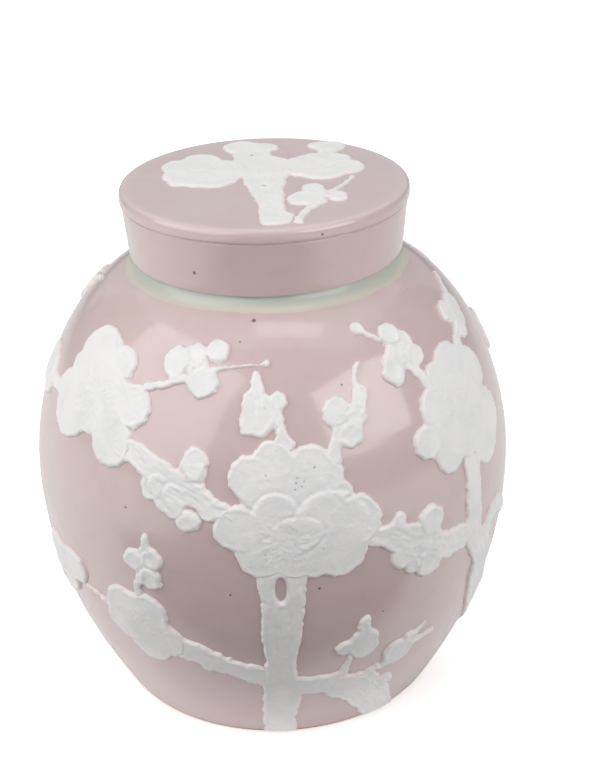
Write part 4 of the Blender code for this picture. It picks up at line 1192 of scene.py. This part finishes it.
def make_cap_slip(slip):
    for number, (name, shape) in enumerate(CAP_SLIP.items()):
        piece = slip_patch(name + "_slip", dict(shape, rise=CAP_SLIP_RISE), 300 + number)
        for point in piece.data.vertices:
            point.co.z += CAP_TOP * MM
        piece.data.materials.append(slip)
        join_frame(piece, "cap", name)


# ---------------------------------------------------------------- the studio

def make_floor():
    mesh = bpy.data.meshes.new("studio_floor")
    reach = 6.0
    corners = [(x * reach, y * reach, 0) for x, y in ((-1, -1), (1, -1), (1, 1), (-1, 1))]
    mesh.from_pydata(corners, [], [(0, 1, 2, 3)])
    floor = bpy.data.objects.new("studio_floor", mesh)
    mesh.materials.append(floor_material())
    bpy.context.scene.collection.objects.link(floor)


def area_light(name, place, aim, size, power, colour=(1.0, 1.0, 1.0)):
    light = bpy.data.lights.new(name, "AREA")
    light.shape = "RECTANGLE"
    light.size, light.size_y = size
    light.energy = power
    light.color = colour
    lamp = bpy.data.objects.new(name, light)
    bpy.context.scene.collection.objects.link(lamp)
    lamp.location = place
    lamp.rotation_euler = (Vector(aim) - Vector(place)).to_track_quat("-Z", "Y").to_euler()
    return lamp


def make_lights():
    middle = (0.0, 0.0, 0.11)
    area_light("left_softbox", (-0.98, -0.52, 0.80), middle, (1.55, 1.35), 11.6)
    area_light("right_softbox", (0.84, -0.72, 0.66), middle, (0.95, 0.75), 6.0)
    area_light("overhead_softbox", (0.0, 0.30, 1.35), middle, (2.2, 1.8), 6.2)
    area_light("back_panel", (0.0, 1.5, 0.85), middle, (2.6, 1.4), 3.2)
    area_light("window_light", (0.17, -0.16, 1.25), (0.17, -0.16, 0.0), (0.52, 0.24), 0.6)
    world = bpy.data.worlds.new("studio_air")
    world.use_nodes = True
    air = world.node_tree
    seen = tree_node(air, "ShaderNodeLightPath").outputs["Is Camera Ray"]
    air.nodes["Background"].inputs["Color"].default_value = (1.0, 1.0, 1.0, 1.0)
    strength = maths(air, "ADD", maths(air, "MULTIPLY", seen, 0.75), 0.25)
    air.links.new(strength, air.nodes["Background"].inputs["Strength"])
    bpy.context.scene.world = world
    bpy.context.scene.view_settings.view_transform = "Standard"


CAMERA_DISTANCE = 0.70
CAMERA_ELEVATION = math.radians(28.18)
CAMERA_ROLL = math.radians(-1.9)
CAMERA_LENS = 75.9
CAMERA_SHIFT = (0.0346, 0.0918)


def make_camera():
    camera = bpy.data.cameras.new("studio_camera")
    camera.lens = CAMERA_LENS
    camera.sensor_width = 36.0
    camera.shift_x, camera.shift_y = CAMERA_SHIFT
    camera.clip_start = 0.01
    rig = bpy.data.objects.new("studio_camera", camera)
    bpy.context.scene.collection.objects.link(rig)
    target = Vector((0.0, 0.0, SHOULDER_HEIGHT / 2 * MM))
    away = Vector((0.0, -math.cos(CAMERA_ELEVATION), math.sin(CAMERA_ELEVATION)))
    rig.location = target + away * CAMERA_DISTANCE
    rig.rotation_euler = (-away).to_track_quat("-Z", "Y").to_euler()
    rig.rotation_euler.rotate_axis("Z", CAMERA_ROLL)
    bpy.context.scene.camera = rig


GROUPS = {"specks": specks_group(), "mottle": mottle_group(), "skin": skin_group()}
make_camera()
make_turned_pieces(GROUPS)
WHITE_SLIP = slip_material(GROUPS)
make_wall_slip(WHITE_SLIP)
make_cap_slip(WHITE_SLIP)
make_floor()
make_lights()
